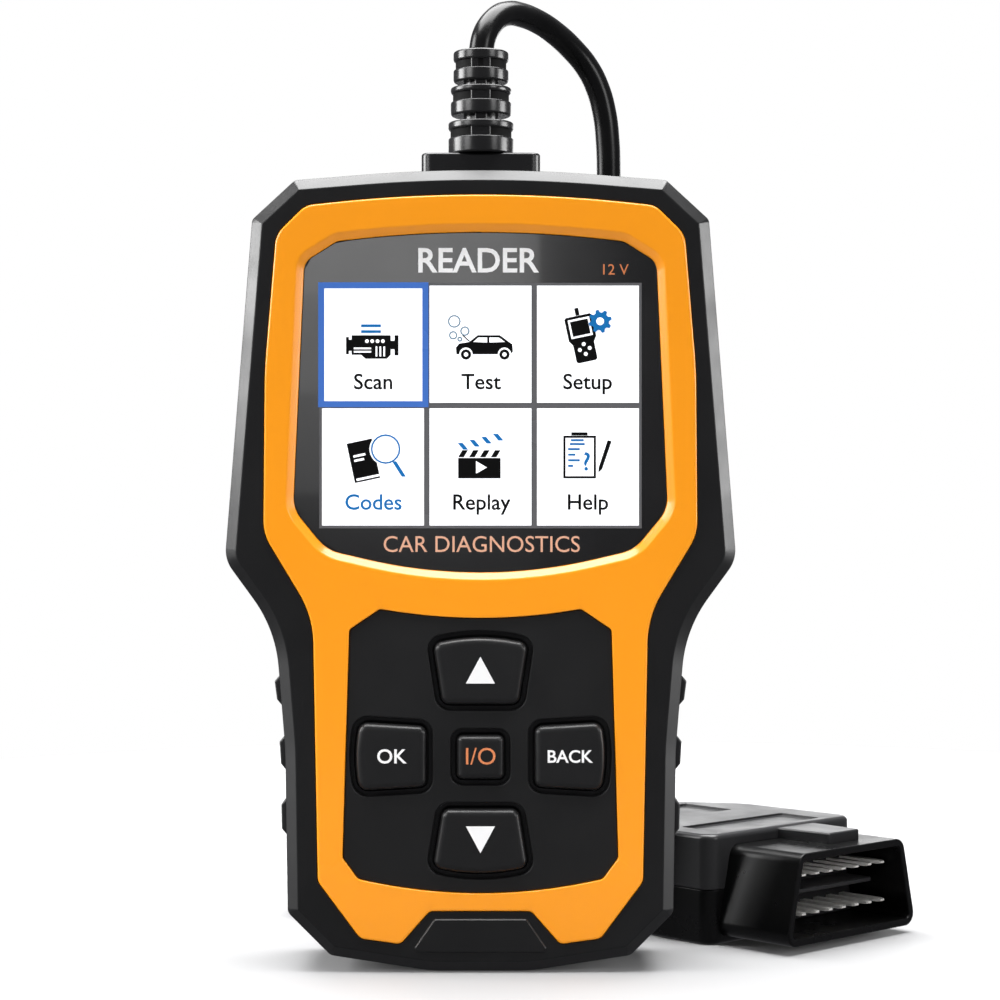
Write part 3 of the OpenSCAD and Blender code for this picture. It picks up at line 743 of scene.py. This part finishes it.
def make_picture():
    """The backlit picture: a grid of six tiles, the first one picked out in blue."""
    left = -LCD_W / 2
    low = LCD_Z - LCD_H / 2
    pitch_x = LCD_W / 3
    pitch_z = LCD_H / 2
    whole = box_points(left, low, -left, low + LCD_H)
    shapes("screen_grid", [whole], SCREEN, SCREEN_GRID, "screen_glass")
    tiles = []
    for column in range(3):
        for row in range(2):
            x = left + column * pitch_x
            z = low + row * pitch_z
            tiles.append(box_points(x + 0.5, z + 0.5, x + pitch_x - 0.5, z + pitch_z - 0.5))
    shapes("screen_tiles", tiles, SCREEN - INK, SCREEN_WHITE, "screen_glass")
    x1 = left + pitch_x + 0.3
    z0 = low + pitch_z - 0.3
    z1 = low + LCD_H + 0.1
    bars = [
        box_points(left - 0.2, z0, left + 0.9, z1), box_points(x1 - 1.1, z0, x1, z1),
        box_points(left + 0.9, z1 - 1.1, x1 - 1.1, z1), box_points(left + 0.9, z0, x1 - 1.1, z0 + 1.1),
    ]
    shapes("screen_choice", bars, SCREEN - 2 * INK, SCREEN_BLUE, "screen_glass")


make_picture()

TILE_X = [-19.2, 0.1, 19.2]
TILE_TOP = 113.6
TILE_LOW = 91.6
CAPTIONS = [
    (TILE_TOP - 7.85, ("Scan", "Test", "Setup")), (TILE_LOW - 7.45, ("Codes", "Replay", "Help")),
]
PICTURE = SCREEN - 2 * INK
for caption_z, row in CAPTIONS:
    for caption_x, words in zip(TILE_X, row):
        lettering(
            "caption_" + words.lower(), words, caption_x, caption_z, 2.75, PICTURE,
            ICON_BLUE if words == "Codes" else ICON_BLACK, weight=0.045)


def at(points, x, z, turn=0.0):
    """A drawing placed at x and z, turned by some degrees."""
    c, k = math.cos(math.radians(turn)), math.sin(math.radians(turn))
    return [(c * px - k * pz + x, k * px + c * pz + z) for px, pz in points]


def band_ring(x, z, outer, inner, steps=20):
    """A flat ring cut into wedges, so that each is a simple polygon."""
    wedges = []
    for i in range(steps):
        a, b = (2 * math.pi * k / steps for k in (i, i + 1))
        corners = ((outer, a), (outer, b), (inner, b), (inner, a))
        wedges.append([around(x, z, radius, angle) for radius, angle in corners])
    return wedges


def gear_points(x, z, outer, inner, teeth=8):
    points = []
    for i in range(teeth):
        for share, radius in ((0.0, inner), (0.2, outer), (0.5, outer), (0.7, inner)):
            points.append(around(x, z, radius, 2 * math.pi * (i + share) / teeth))
    return points


def slanted(x, z, width, height, lean):
    """A box whose top is shifted sideways by lean."""
    return [(x, z), (x + lean, z + height), (x + lean + width, z + height), (x + width, z)]


def icon_layer(name, layers, material, polygons):
    """One colour of the icons: layers counts the layers of ink under it."""
    shapes(name, polygons, PICTURE - layers * INK, material, "screen_glass")


ICON_TURN = 12.0  # degrees that the handset and the book lean


def make_icons():
    left, middle, right = TILE_X
    top, low = TILE_TOP, TILE_LOW
    device = (right - 0.9, top, ICON_TURN)
    book = (left - 1.8, low + 0.1, ICON_TURN)
    engine = [
        (-3.9, 0.6), (3.1, 0.6), (3.1, -2.9), (2.4, -3.6), (-1.4, -3.6), (-2.2, -2.9), (-3.9, -2.9)]
    car = [
        (-4.4, -2.8), (-4.5, -1.6), (-3.9, -0.9), (-2.1, -0.6), (-0.6, 0.6), (3.4, 0.6), (5.0, -0.6),
        (5.6, -1.0), (5.7, -2.3), (5.3, -2.8)]
    handset = [
        (-2.5, 3.9), (-2.2, 4.2), (2.2, 4.2), (2.5, 3.9), (2.5, 0.0), (1.9, -0.9), (1.9, -3.9),
        (1.6, -4.2), (-1.6, -4.2), (-1.9, -3.9), (-1.9, -0.9), (-2.5, 0.0)]
    icon_layer("icons_black", 0, ICON_BLACK, [
        at(engine, left, top),
        at(box_points(-4.9, -2.8, -4.4, 0.3), left, top),
        at(box_points(-4.4, -2.2, -3.9, -0.2), left, top),
        at(box_points(3.1, -1.9, 3.8, -0.4), left, top), at(box_points(3.8, -3.0, 4.5, 0.6), left, top),
        at(car, middle, top), at(slanted(-2.2, -0.5, 0.3, 1.1, -1.2), middle, top),
        at(handset, *device), at(box_points(-0.35, 4.25, 0.35, 5.6), *device),
        at(box_points(-2.3, -3.6, 2.3, 3.6), *book),
        at(box_points(-4.1, -3.05, 3.5, 0.6), middle, low),
        at(box_points(-4.35, -3.05, 1.5, 4.6), right, low),
        at(box_points(-2.9, 4.65, 0.0, 5.2), right, low),
        at([(1.95, -2.0), (2.0, -1.1), (3.6, 3.8), (4.3, 3.6), (2.6, -1.4)], right, low),
    ] + [at(slanted(-4.1 + 1.95 * i, 0.75, 1.0, 1.25, 0.75), middle, low) for i in range(4)])
    icon_layer("icons_white", 1, SCREEN_WHITE, [
        at(box_points(-3.5, -1.9, -0.4, -1.6), left, top),
        at(box_points(-3.5, -2.5, -0.4, -2.2), left, top),
        at([(-1.4, -0.6), (-0.5, 0.2), (1.1, 0.2), (1.1, -0.7)], middle, top),
        at([(1.5, -0.7), (1.5, 0.2), (3.2, 0.2), (4.3, -0.6)], middle, top),
        circle(middle - 2.7, top - 2.8, 1.2, 24), circle(middle + 4.2, top - 2.8, 1.2, 24),
        at(box_points(-1.95, 0.3, 1.95, 3.7), *device),
        circle(left + 2.2, low + 2.2, 2.9, 32), at(box_points(-1.9, -3.3, 2.3, -2.9), *book),
        at(box_points(-1.6, 0.9, 0.6, 1.3), *book), at(box_points(-1.6, 0.1, 0.2, 0.5), *book),
        at([(-0.9, 0.05), (-0.9, -2.2), (1.05, -1.1)], middle, low),
        at(box_points(-3.95, -2.65, 1.1, 4.2), right, low),
    ] + [circle(left - 1.15 + 0.95 * i, top - 0.45, 0.34, 12) for i in range(4)]
        + [at(box_points(0.4 + 0.7 * i, -3.2, 0.7 + 0.7 * i, -1.4), left, top) for i in range(3)]
        + [circle(x, z, 0.36, 12) for x, z in at(
            [(0, -1.0), (0, -2.8), (-0.9, -1.9), (0.9, -1.9)], *device)])
    icon_layer("icons_detail", 2, ICON_BLACK, [
        circle(middle - 2.7, top - 2.85, 0.92, 20), circle(middle + 4.2, top - 2.85, 0.92, 20),
        at(box_points(-1.6, 0.65, 1.6, 3.35), *device),
    ])
    smoke = ((-4.8, 3.1, 1.15), (-2.9, 1.35, 0.85), (-5.0, 0.6, 0.75), (-3.8, -0.1, 0.45))
    icon_layer("icons_smoke", 0, ICON_GREY, [
        wedge for x, z, radius in smoke
        for wedge in band_ring(middle + x, top + z, radius, radius - 0.24, 14)])
    icon_layer("icons_blue", 3, ICON_BLUE, [
        at(box_points(-2.2, 2.05, 1.35, 2.55), left, top),
        at(box_points(-2.2, 1.0, 1.35, 1.5), left, top),
        gear_points(right + 2.25, top + 3.1, 2.1, 1.6),
        at(slanted(5.1, -2.75, 0.75, 2.75, -1.75), left, low),
    ] + band_ring(left + 2.2, low + 2.2, 2.65, 2.35)
        + [at(slanted(-3.2 + 2.1 * i, 2.1 + 0.55 * i, 0.9, 1.2, -1.0), middle, low) for i in range(4)]
        + [at(box_points(start, z, end, z + 0.38), right, low) for start, z, end in (
            (-3.0, 3.6, -0.7), (-3.2, 2.9, -0.5), (-3.5, 2.0, -1.4), (-3.5, 1.0, -2.2),
            (-3.5, 0.0, -1.4), (-3.5, -1.0, -2.6))])
    icon_layer("icons_holes", 4, SCREEN_WHITE, [
        circle(right + 2.25, top + 3.1, 0.7, 16), circle(middle - 2.7, top - 2.85, 0.4, 12),
        circle(middle + 4.2, top - 2.85, 0.4, 12)])
    lettering(
        "help_sign", "?", right - 0.2, low - 0.2, 3.2, PICTURE - 3 * INK, ICON_BLUE,
        weight=0.06)


make_icons()

# ---- grip ribs ----

# Heights that each rib covers, how far it stands out of the wall, and its depths along Y
RIB_SPANS = [(24.4, 30.8), (36.1, 42.1), (47.7, 53.0)]
RIB_PROUD = 0.95
RIB_Y = (-8.8, -1.2)


def side_x(z):
    """Half-width of the case at height z, on the straight runs of its lower side walls."""
    (waist_x, waist_z, _), (knee_x, knee_z, _), (foot_x, foot_z, _) = CASE_HALF[4:7]
    if z < knee_z:
        return foot_x + (knee_x - foot_x) * (z - foot_z) / (knee_z - foot_z)
    return knee_x + (waist_x - knee_x) * (z - knee_z) / (waist_z - knee_z)


def make_grip_ribs(side, name):
    """Three ribs with sloped ends and softened edges on one side wall."""
    skin = Skin()
    for low, high in RIB_SPANS:
        corners = [
            (side_x(high) - 1.0, high, 0.1), (side_x(high) + 0.1, high, 0.3),
            (side_x(high) + RIB_PROUD, high - 1.0, 0.5), (side_x(low) + RIB_PROUD, low + 1.0, 0.5),
            (side_x(low) + 0.1, low, 0.3), (side_x(low) - 1.0, low, 0.1),
        ]
        ends = round_edge(0.0, RIB_Y[0], 0.35, 0.35) + round_edge(0.0, RIB_Y[1], 0.35, -0.35)[::-1]
        skin.solid([([(side * x, z) for x, z in ring(corners, d)], y) for d, y in ends])
    skin.piece(name + "_skin", GRIP_RUBBER, "grip_rubber", replaced=[name])


make_grip_ribs(1.0, "right_grip_ribs")
make_grip_ribs(-1.0, "left_grip_ribs")

# ---- strain relief ----

FLANGE = bar(-10.85, -4.5, 10.85, 4.5, 2)
NECK_R = 3.2
# Discs from the bottom up: (lower end, upper end, radius)
DISCS = [
    (148.0, 151.1, 6.0), (152.5, 154.0, 6.0), (155.2, 157.8, 5.55), (159.2, 160.4, 5.55),
    (161.3, 163.7, 5.05), (165.1, RELIEF_TOP, 5.05),
]
DISC_PAIRS = list(zip(DISCS[0::2], DISCS[1::2]))
BRIDGE_HALF = 1.8
ROUND_STEPS = 48


def make_relief_slot_shade():
    """Darker, matte cores in the slots between the discs of each pair: painted shade."""
    skin = Skin(UPRIGHT)
    for (_low, low_top, radius), (top_low, _high, _radius) in DISC_PAIRS:
        core = radius - 0.4
        skin.solid(circles(0, 0, [(core, low_top - 0.2), (core, top_low + 0.2)], ROUND_STEPS))
    # The slot cores' darker rubber is painted shade.
    skin.piece("relief_slots", SLOT_PAINTED_SHADE, "relief_rubber", sharp=40)


def make_strain_relief():
    """A flange, a stack of discs on a neck, and the bridges that join the discs at front and back."""
    skin = Skin(UPRIGHT)
    skin.solid(levels(FLANGE, [(0, 143.4), (0, 147.5)] + round_edge(0, 148.0, 0.5, -0.5)[::-1]))
    profile = [(NECK_R, 147.6)]
    for low, high, radius in DISCS:
        lower = [(radius - d, z) for d, z in round_edge(0, low, 0.4, 0.4)]
        upper = [(radius - d, z) for d, z in round_edge(0, high, 0.4, -0.4)]
        profile += [(NECK_R, low)] + lower + upper[::-1] + [(NECK_R, high)]
    skin.solid(circles(0, 0, profile[:-1] + [(CORD_D / 2 + 0.05, RELIEF_TOP)], ROUND_STEPS))

    def bridge(half, reach, side, low, high):
        corners = [(-half, reach, 0.3), (half, reach, 0.3), (half, 2.0, 0.1), (-half, 2.0, 0.1)]
        skin.solid([([(x, side * y) for x, y in ring(corners)], z) for z in (low, high)])

    for side in (-1, 1):
        for (low, _low_top, radius), (_top_low, high, _radius) in DISC_PAIRS:
            reach = math.sqrt(radius ** 2 - BRIDGE_HALF ** 2) - 0.1
            bridge(BRIDGE_HALF, reach, side, low + 0.5, high - 0.4)
        bridge(1.1, 4.3, side, 148.5, RELIEF_TOP - 0.5)
    skin.piece("strain_relief_skin", RELIEF_RUBBER, "relief_rubber", replaced=["strain_relief"], sharp=40)


make_strain_relief()
make_relief_slot_shade()

# ---- plug ----

PLUG_L = 40.0
PLUG_H = 21.0
PLUG_MID = 10.5
PLUG_WALL = 1.8
PLUG_EDGE = 1.0
HOUSING = [
    (0, 21.75, 3), (0, -21.75, 3), (-28, -21.15, 10), (-40, -13, 3), (-40, 13, 3), (-28, 21.15, 10),
]
SHROUD = [(-15.7, 18.7, 2.4), (15.7, 18.7, 2.4), (19.7, 1.5, 2.4), (-19.7, 1.5, 2.4)]
SHROUD_L = 17.0
SHROUD_WALL = 1.4
SHROUD_ROOT = -1.8
# Sunk panels in the housing's top: (rear, right, front, left)
PANEL_SPANS = [(-12.5, -16.0, -2.5, 14.0), (-36.0, -11.0, -23.0, 11.0)]
PLUG_SCREWS = [(-31.0, 11.0), (-31.0, -11.0)]


def carve(piece, *cutters):
    """Cuts the cutters out of a piece and leaves the result as its mesh."""
    for cutter in cutters:
        cut = piece.modifiers.new("cut", "BOOLEAN")
        cut.operation = "DIFFERENCE"
        cut.solver = "EXACT"
        cut.object = cutter
    result = evaluated_mesh(piece)
    piece.modifiers.clear()
    piece.data = result
    for cutter in cutters:
        bpy.data.objects.remove(cutter)


def shroud_cutter():
    skin = Skin(PLUG_ALONG)
    skin.solid(levels(SHROUD, [(-0.05, -3.5), (-0.05, 2.0)]))
    return link_object("shroud_cutter", skin.data("shroud_cutter"))


def boot_cutter():
    skin = Skin(PLUG_ALONG)
    skin.solid(circles(0, PLUG_MID, [(4.2, -PLUG_L - 2), (4.2, -PLUG_L + 4)], 32))
    return link_object("boot_cutter", skin.data("boot_cutter"))


def make_top_cover():
    skin = Skin(PLUG)
    outer = [(0.25, PLUG_MID), (0.06, PLUG_MID + 0.12), (0, PLUG_MID + 0.35)]
    outer += round_edge(0, PLUG_H, PLUG_EDGE, -PLUG_EDGE, 5)[::-1]
    parting, top = skin.wall(levels(HOUSING, outer))
    lips = []
    for rear, right, front, left in PANEL_SPANS:
        panel = [(front, left, 0.6), (front, right, 0.6), (rear, right, 0.6), (rear, left, 0.6)]
        lip, sunk = skin.wall(levels(panel, [
            (-0.12, PLUG_H), (0, PLUG_H - 0.06), (0.04, PLUG_H - 0.4), (0.25, PLUG_H - 0.5),
        ]))
        skin.cap(sunk)
        lips.append(lip)
    skin.cap(top, *lips)
    inside, ceiling = skin.wall(levels(HOUSING, [(PLUG_WALL, PLUG_MID), (PLUG_WALL, PLUG_H - PLUG_WALL)]))
    skin.cap(parting, inside)
    skin.cap(ceiling)
    # The top cover's lighter grey is painted light on the plug's top.
    piece = skin.piece("plug_top_skin", PLUG_TOP_SHEEN, "plug_grey", replaced=["plug_top_cover"], sharp=30)
    carve(piece, shroud_cutter(), boot_cutter())
    return piece


def make_bottom_cover():
    skin = Skin(PLUG)
    outer = round_edge(0, 0, PLUG_EDGE, PLUG_EDGE, 5)
    outer += [(0, PLUG_MID - 0.35), (0.06, PLUG_MID - 0.12), (0.25, PLUG_MID)]
    bottom, parting = skin.wall(levels(HOUSING, outer))
    holes = []
    for x, y in PLUG_SCREWS:
        mouth, seat = skin.wall(circles(x, y, [(2.45, 0), (2.3, 0.15), (2.3, 3.0)], 28))
        skin.cap(seat)
        holes.append(mouth)
    skin.cap(bottom, *holes)
    floor, rest = skin.wall(levels(HOUSING, [(PLUG_WALL, 3.4), (PLUG_WALL, PLUG_MID)]))
    skin.cap(floor)
    skin.cap(parting, rest)
    piece = skin.piece(
        "plug_bottom_skin", PLUG_BLACK, "plug_black", replaced=["plug_bottom_cover"], sharp=30)
    carve(piece, shroud_cutter(), boot_cutter())
    return piece


def make_tab():
    """The latch tab that lies on the shroud's top."""
    skin = Skin(PLUG)
    tab = [(-0.5, 9.2, 0.2), (12, 8.4, 0.6), (12, -1.0, 0.6), (-0.5, -1.8, 0.2)]
    skin.solid(levels(tab, [(0, 18.72)] + round_edge(0, 20.7, 0.35, -0.35)[::-1]))
    # The tab's lighter grey is painted light, as on the top cover.
    return skin.piece("plug_tab", PLUG_TOP_SHEEN, "plug_grey")


def make_shroud():
    skin = Skin(PLUG_ALONG)
    lip = SHROUD_L - 0.3
    edge = round_edge(0, SHROUD_L, 0.3, -0.3)
    outer = [(0, SHROUD_ROOT), (0, lip)] + edge[::-1]
    inner = [(SHROUD_WALL - d, x) for d, x in edge] + [(SHROUD_WALL, SHROUD_ROOT)]
    first, last = skin.wall(levels(SHROUD, outer + inner))
    skin.cap(first, last)
    return skin.piece("plug_shroud_skin", PLUG_BLACK, "plug_black", replaced=["plug_shroud"], sharp=35)


PIN_MID = 10.1
PIN_ROWS = (PIN_MID - 3.7, PIN_MID + 3.7)
PIN_PITCH = 4.0
PIN_W = 1.5
PIN_T = 0.7
PIN_TIP = 13.2
DIVIDER_W = 29.2
DIVIDER_T = 0.9
DIVIDER_END = 10.0


def make_pin_block():
    """The block that holds the blades, with the divider between their rows."""
    skin = Skin(PLUG_ALONG)
    skin.solid(levels(SHROUD, [(1.45, -3.3), (1.45, 2.8), (1.65, 3.0)]))
    half_w, half_t = DIVIDER_W / 2, DIVIDER_T / 2
    divider = bar(-half_w, PIN_MID - half_t, half_w, PIN_MID + half_t, 0.2)
    skin.solid(levels(divider, [(0, 2.9), (0, DIVIDER_END - 0.2), (0.15, DIVIDER_END)]))
    # Its lighter grey is a painted highlight on the divider's edge.
    return skin.piece("pin_block_skin", PIN_BLOCK, "plug_black", replaced=["plug_pin_block"])


def make_pins():
    """Sixteen blades with tapered tips."""
    skin = Skin(PLUG_ALONG)
    for row in PIN_ROWS:
        for i in range(8):
            y = (i - 3.5) * PIN_PITCH
            blade = bar(y - PIN_W / 2, row - PIN_T / 2, y + PIN_W / 2, row + PIN_T / 2, 0.06)
            skin.solid(levels(blade, [
                (0, -6.0), (0, PIN_TIP - 0.8), (0.1, PIN_TIP - 0.2), (0.18, PIN_TIP)]))
    return skin.piece("pins_skin", PIN_METAL, "pin_metal", replaced=["plug_pins"])


BOOT_START = -38.2
BOOT_L = 21.0
BOOT_RIBS = 6


def make_boot():
    """A tapered sleeve with a collar and ribs."""
    skin = Skin(PLUG_ALONG)
    profile = [(4.1, 1.0), (4.1, 1.9), (5.2, 1.9), (5.35, 2.1), (5.35, 4.6), (5.1, 4.9)]
    pitch = (BOOT_L - 6.0) / BOOT_RIBS
    for i in range(BOOT_RIBS):
        start = 5.2 + i * pitch
        radius = 5.0 - (5.0 - 3.45) * (i + 0.5) / BOOT_RIBS
        end = start + pitch
        profile += [(radius - 0.75, start), (radius - 0.75, start + 0.7), (radius - 0.15, start + 0.75)]
        profile += [(radius, start + 0.95), (radius - 0.05, end - 0.2), (radius - 0.2, end)]
    profile += [(3.2, BOOT_L - 0.5), (2.9, BOOT_L), (CORD_D / 2 + 0.02, BOOT_L)]
    skin.solid(circles(0, PLUG_MID, [(r, BOOT_START - x) for r, x in profile], 40))
    return skin.piece("plug_boot_skin", RELIEF_RUBBER, "relief_rubber", replaced=["plug_boot"])


# The coil's section, which the tie wraps
COIL_IN = COIL_OUTER - COIL_TURNING * CORD_D - CORD_D / 2
COIL_OUT = COIL_OUTER + CORD_D / 2
TIE_T = 0.6
TIE_CORNER = 2.2
TIE_ANGLES = (170.0, 194.0)
TIE_STEPS = 14


def make_tie():
    """A strap wrapped round the coil's section, following the coil for a few degrees."""
    section = bar(COIL_IN, TIE_T, COIL_OUT, TIE_T + 2 * CORD_D, TIE_CORNER)
    skin = Skin(UPRIGHT)

    def swept(points, share):
        first, last = TIE_ANGLES
        angle = math.radians(first + (last - first) * share)
        flat = [(*around(*COIL_CENTER, r, angle), z) for r, z in points]
        return [skin.mesh.verts.new(UPRIGHT @ Vector(p)) for p in flat]

    outside = ring(section, -TIE_T)
    inside = ring(section, -0.02)
    stations = [(outside, i / TIE_STEPS) for i in range(TIE_STEPS + 1)]
    stations += [(inside, 1 - i / TIE_STEPS) for i in range(TIE_STEPS + 1)]
    loops = [swept(points, share) for points, share in stations]
    for lower, upper in zip(loops, loops[1:] + loops[:1]):
        for i in range(len(lower)):
            j = (i + 1) % len(lower)
            skin.mesh.faces.new((lower[i], lower[j], upper[j], upper[i]))
    return skin.piece("cord_tie_skin", TIE_FABRIC, "tie_fabric", replaced=["cord_tie"], sharp=50)


plug_pieces = [
    make_top_cover(), make_bottom_cover(), make_tab(), make_shroud(), make_pin_block(), make_pins(),
    make_boot(), make_tie(), NODES["plug_board"], NODES["plug_screws"],
]

cord.data.materials.append(CORD_JACKET)
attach(cord, "reader")
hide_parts("cord_tube", "cord_coil", "cord_tail")

# ---- finishes of the CAD nodes that stay ----

NODE_FINISHES = {
    "lcd_gasket": FOAM, "lcd_glass": SCREEN_GLASS, "lcd_frame": STEEL, "lcd_ribbon": FLEX,
    "ribbon_socket": SOCKET, "main_board": BOARD, "processor": CHIP, "interface_chips": CHIP,
    "board_passives": SOCKET, "crystal": SOLDER, "buzzer": CHIP, "key_domes": SOLDER,
    "cable_header": SOCKET, "inner_wires": WIRE, "case_screws": STEEL, "plug_board": BOARD,
    "plug_screws": STEEL,
}
for node_name, node_finish in NODE_FINISHES.items():
    node_data = NODES[node_name].data
    node_data.materials.clear()
    node_data.materials.append(node_finish)

# ---- floor and light, in metres ----

FLOOR_MIDDLE = Vector((0.02, 0.1, 0.0))
FLOOR_R = 0.3
GLOW_START = 0.06
GLOW_AT_EDGE = 0.3


def make_floor():
    """A pale round floor that brightens towards its edge, where it meets the white background."""
    data = bpy.data.meshes.new("floor")
    rim = [(x, y, 0) for x, y in circle(0, 0, FLOOR_R, 96)]
    data.from_pydata(rim, [], [range(len(rim))])
    floor = link_object("floor", data)
    floor.location = FLOOR_MIDDLE
    floor.visible_glossy = False
    material = bpy.data.materials.new("floor")
    material.use_nodes = True
    tree = material.node_tree
    bsdf = shader(material)
    set_inputs(
        bsdf, Base_Color=(0.34, 0.34, 0.343, 1.0), Roughness=0.6, Specular_IOR_Level=0.2,
        Emission_Color=(1.0, 1.0, 1.0, 1.0))
    coordinates = tree.nodes.new("ShaderNodeTexCoord")
    distance = tree.nodes.new("ShaderNodeVectorMath")
    distance.operation = "LENGTH"
    tree.links.new(coordinates.outputs["Object"], distance.inputs[0])
    glow = spread(tree, distance.outputs["Value"], 0.0, GLOW_AT_EDGE, GLOW_START, FLOOR_R)
    glow.node.interpolation_type = "SMOOTHSTEP"
    tree.links.new(glow, bsdf.inputs["Emission Strength"])
    data.materials.append(material)


def make_light(name, place, target, size, radiance):
    """A soft rectangular light aimed at a point; radiance is its surface brightness."""
    data = bpy.data.lights.new(name, "AREA")
    data.shape = "RECTANGLE"
    data.size, data.size_y = size
    data.energy = radiance * math.pi * size[0] * size[1]
    light = link_object(name, data)
    light.location = place
    light.rotation_euler = (Vector(target) - Vector(place)).to_track_quat("-Z", "Y").to_euler()
    light.visible_camera = False
    return light


def make_world():
    """A dim grey surround that the camera sees as white."""
    world = bpy.data.worlds.new("surround")
    world.use_nodes = True
    tree = world.node_tree
    surround = tree.nodes["Background"]
    set_inputs(surround, Color=(0.16, 0.16, 0.17, 1.0))
    white = tree.nodes.new("ShaderNodeBackground")
    set_inputs(white, Color=(1.0, 1.0, 1.0, 1.0))
    mix = tree.nodes.new("ShaderNodeMixShader")
    path = tree.nodes.new("ShaderNodeLightPath")
    tree.links.new(path.outputs["Is Camera Ray"], mix.inputs["Fac"])
    tree.links.new(surround.outputs["Background"], mix.inputs[1])
    tree.links.new(white.outputs["Background"], mix.inputs[2])
    tree.links.new(mix.outputs["Shader"], tree.nodes["World Output"].inputs["Surface"])
    bpy.context.scene.world = world


MIDDLE = (0.0, 0.0, 0.08)  # the point of the case that the wide lights aim at
make_floor()
make_world()
make_light("top_softbox", (0.0, 0.1, 0.9), (0.0, 0.1, 0.0), (1.0, 0.8), 12.5)
make_light("left_softbox", (-0.9, 0.0, 0.48), MIDDLE, (0.5, 0.6), 10.5)
make_light("rear_card", (0.2, 1.3, 0.22), (0.1, 0.0, 0.05), (1.2, 0.3), 2.2)
left_fill = make_light("front_left_fill", (-0.95, -0.8, 0.55), MIDDLE, (0.5, 0.5), 6.8)
make_light("front_right_fill", (0.95, -0.8, 0.55), MIDDLE, (0.4, 0.4), 6.0)

# Cards beside the case, which its bevels mirror: bright above the waist and dim below it.
# Each is (x, z, height, radiance). They and the left fill pass over the plug, to keep its sides dark.
SIDE_CARDS = [
    (-0.9, 0.28, 0.16, 8.0), (-0.9, -0.04, 0.22, 1.7), (0.9, 0.22, 0.3, 11.5), (0.9, -0.05, 0.22, 1.9),
]
CARD_Y = 0.02
CARD_WIDTH = 0.4
all_but_plug = bpy.data.collections.new("all_but_plug")
for piece in bpy.data.objects:
    if piece.type == "MESH" and piece not in plug_pieces:
        all_but_plug.objects.link(piece)
left_fill.light_linking.receiver_collection = all_but_plug
for index, (card_x, card_z, card_height, radiance) in enumerate(SIDE_CARDS):
    side_card = make_light(
        f"side_card_{index}", (card_x, CARD_Y, card_z), (0.0, CARD_Y, card_z), (CARD_WIDTH, card_height),
        radiance)
    side_card.light_linking.receiver_collection = all_but_plug

# A graded card of strips behind the camera, brightest at its top, seen only in the lens's upper left.
CARD_STRIPS = 5
STRIP_X = -0.12
STRIP_SIZE = (0.31, 0.08)
only_lens = bpy.data.collections.new("only_lens")
only_lens.objects.link(lens)
for strip in range(CARD_STRIPS):
    strip_z = 0.05 + STRIP_SIZE[1] * strip
    strip_light = make_light(
        f"lens_card_{strip}", (STRIP_X, -1.5, strip_z), (STRIP_X, 0.0, strip_z), STRIP_SIZE,
        0.14 + 0.86 * strip)
    strip_light.light_linking.receiver_collection = only_lens
bpy.context.scene.view_settings.view_transform = "Standard"
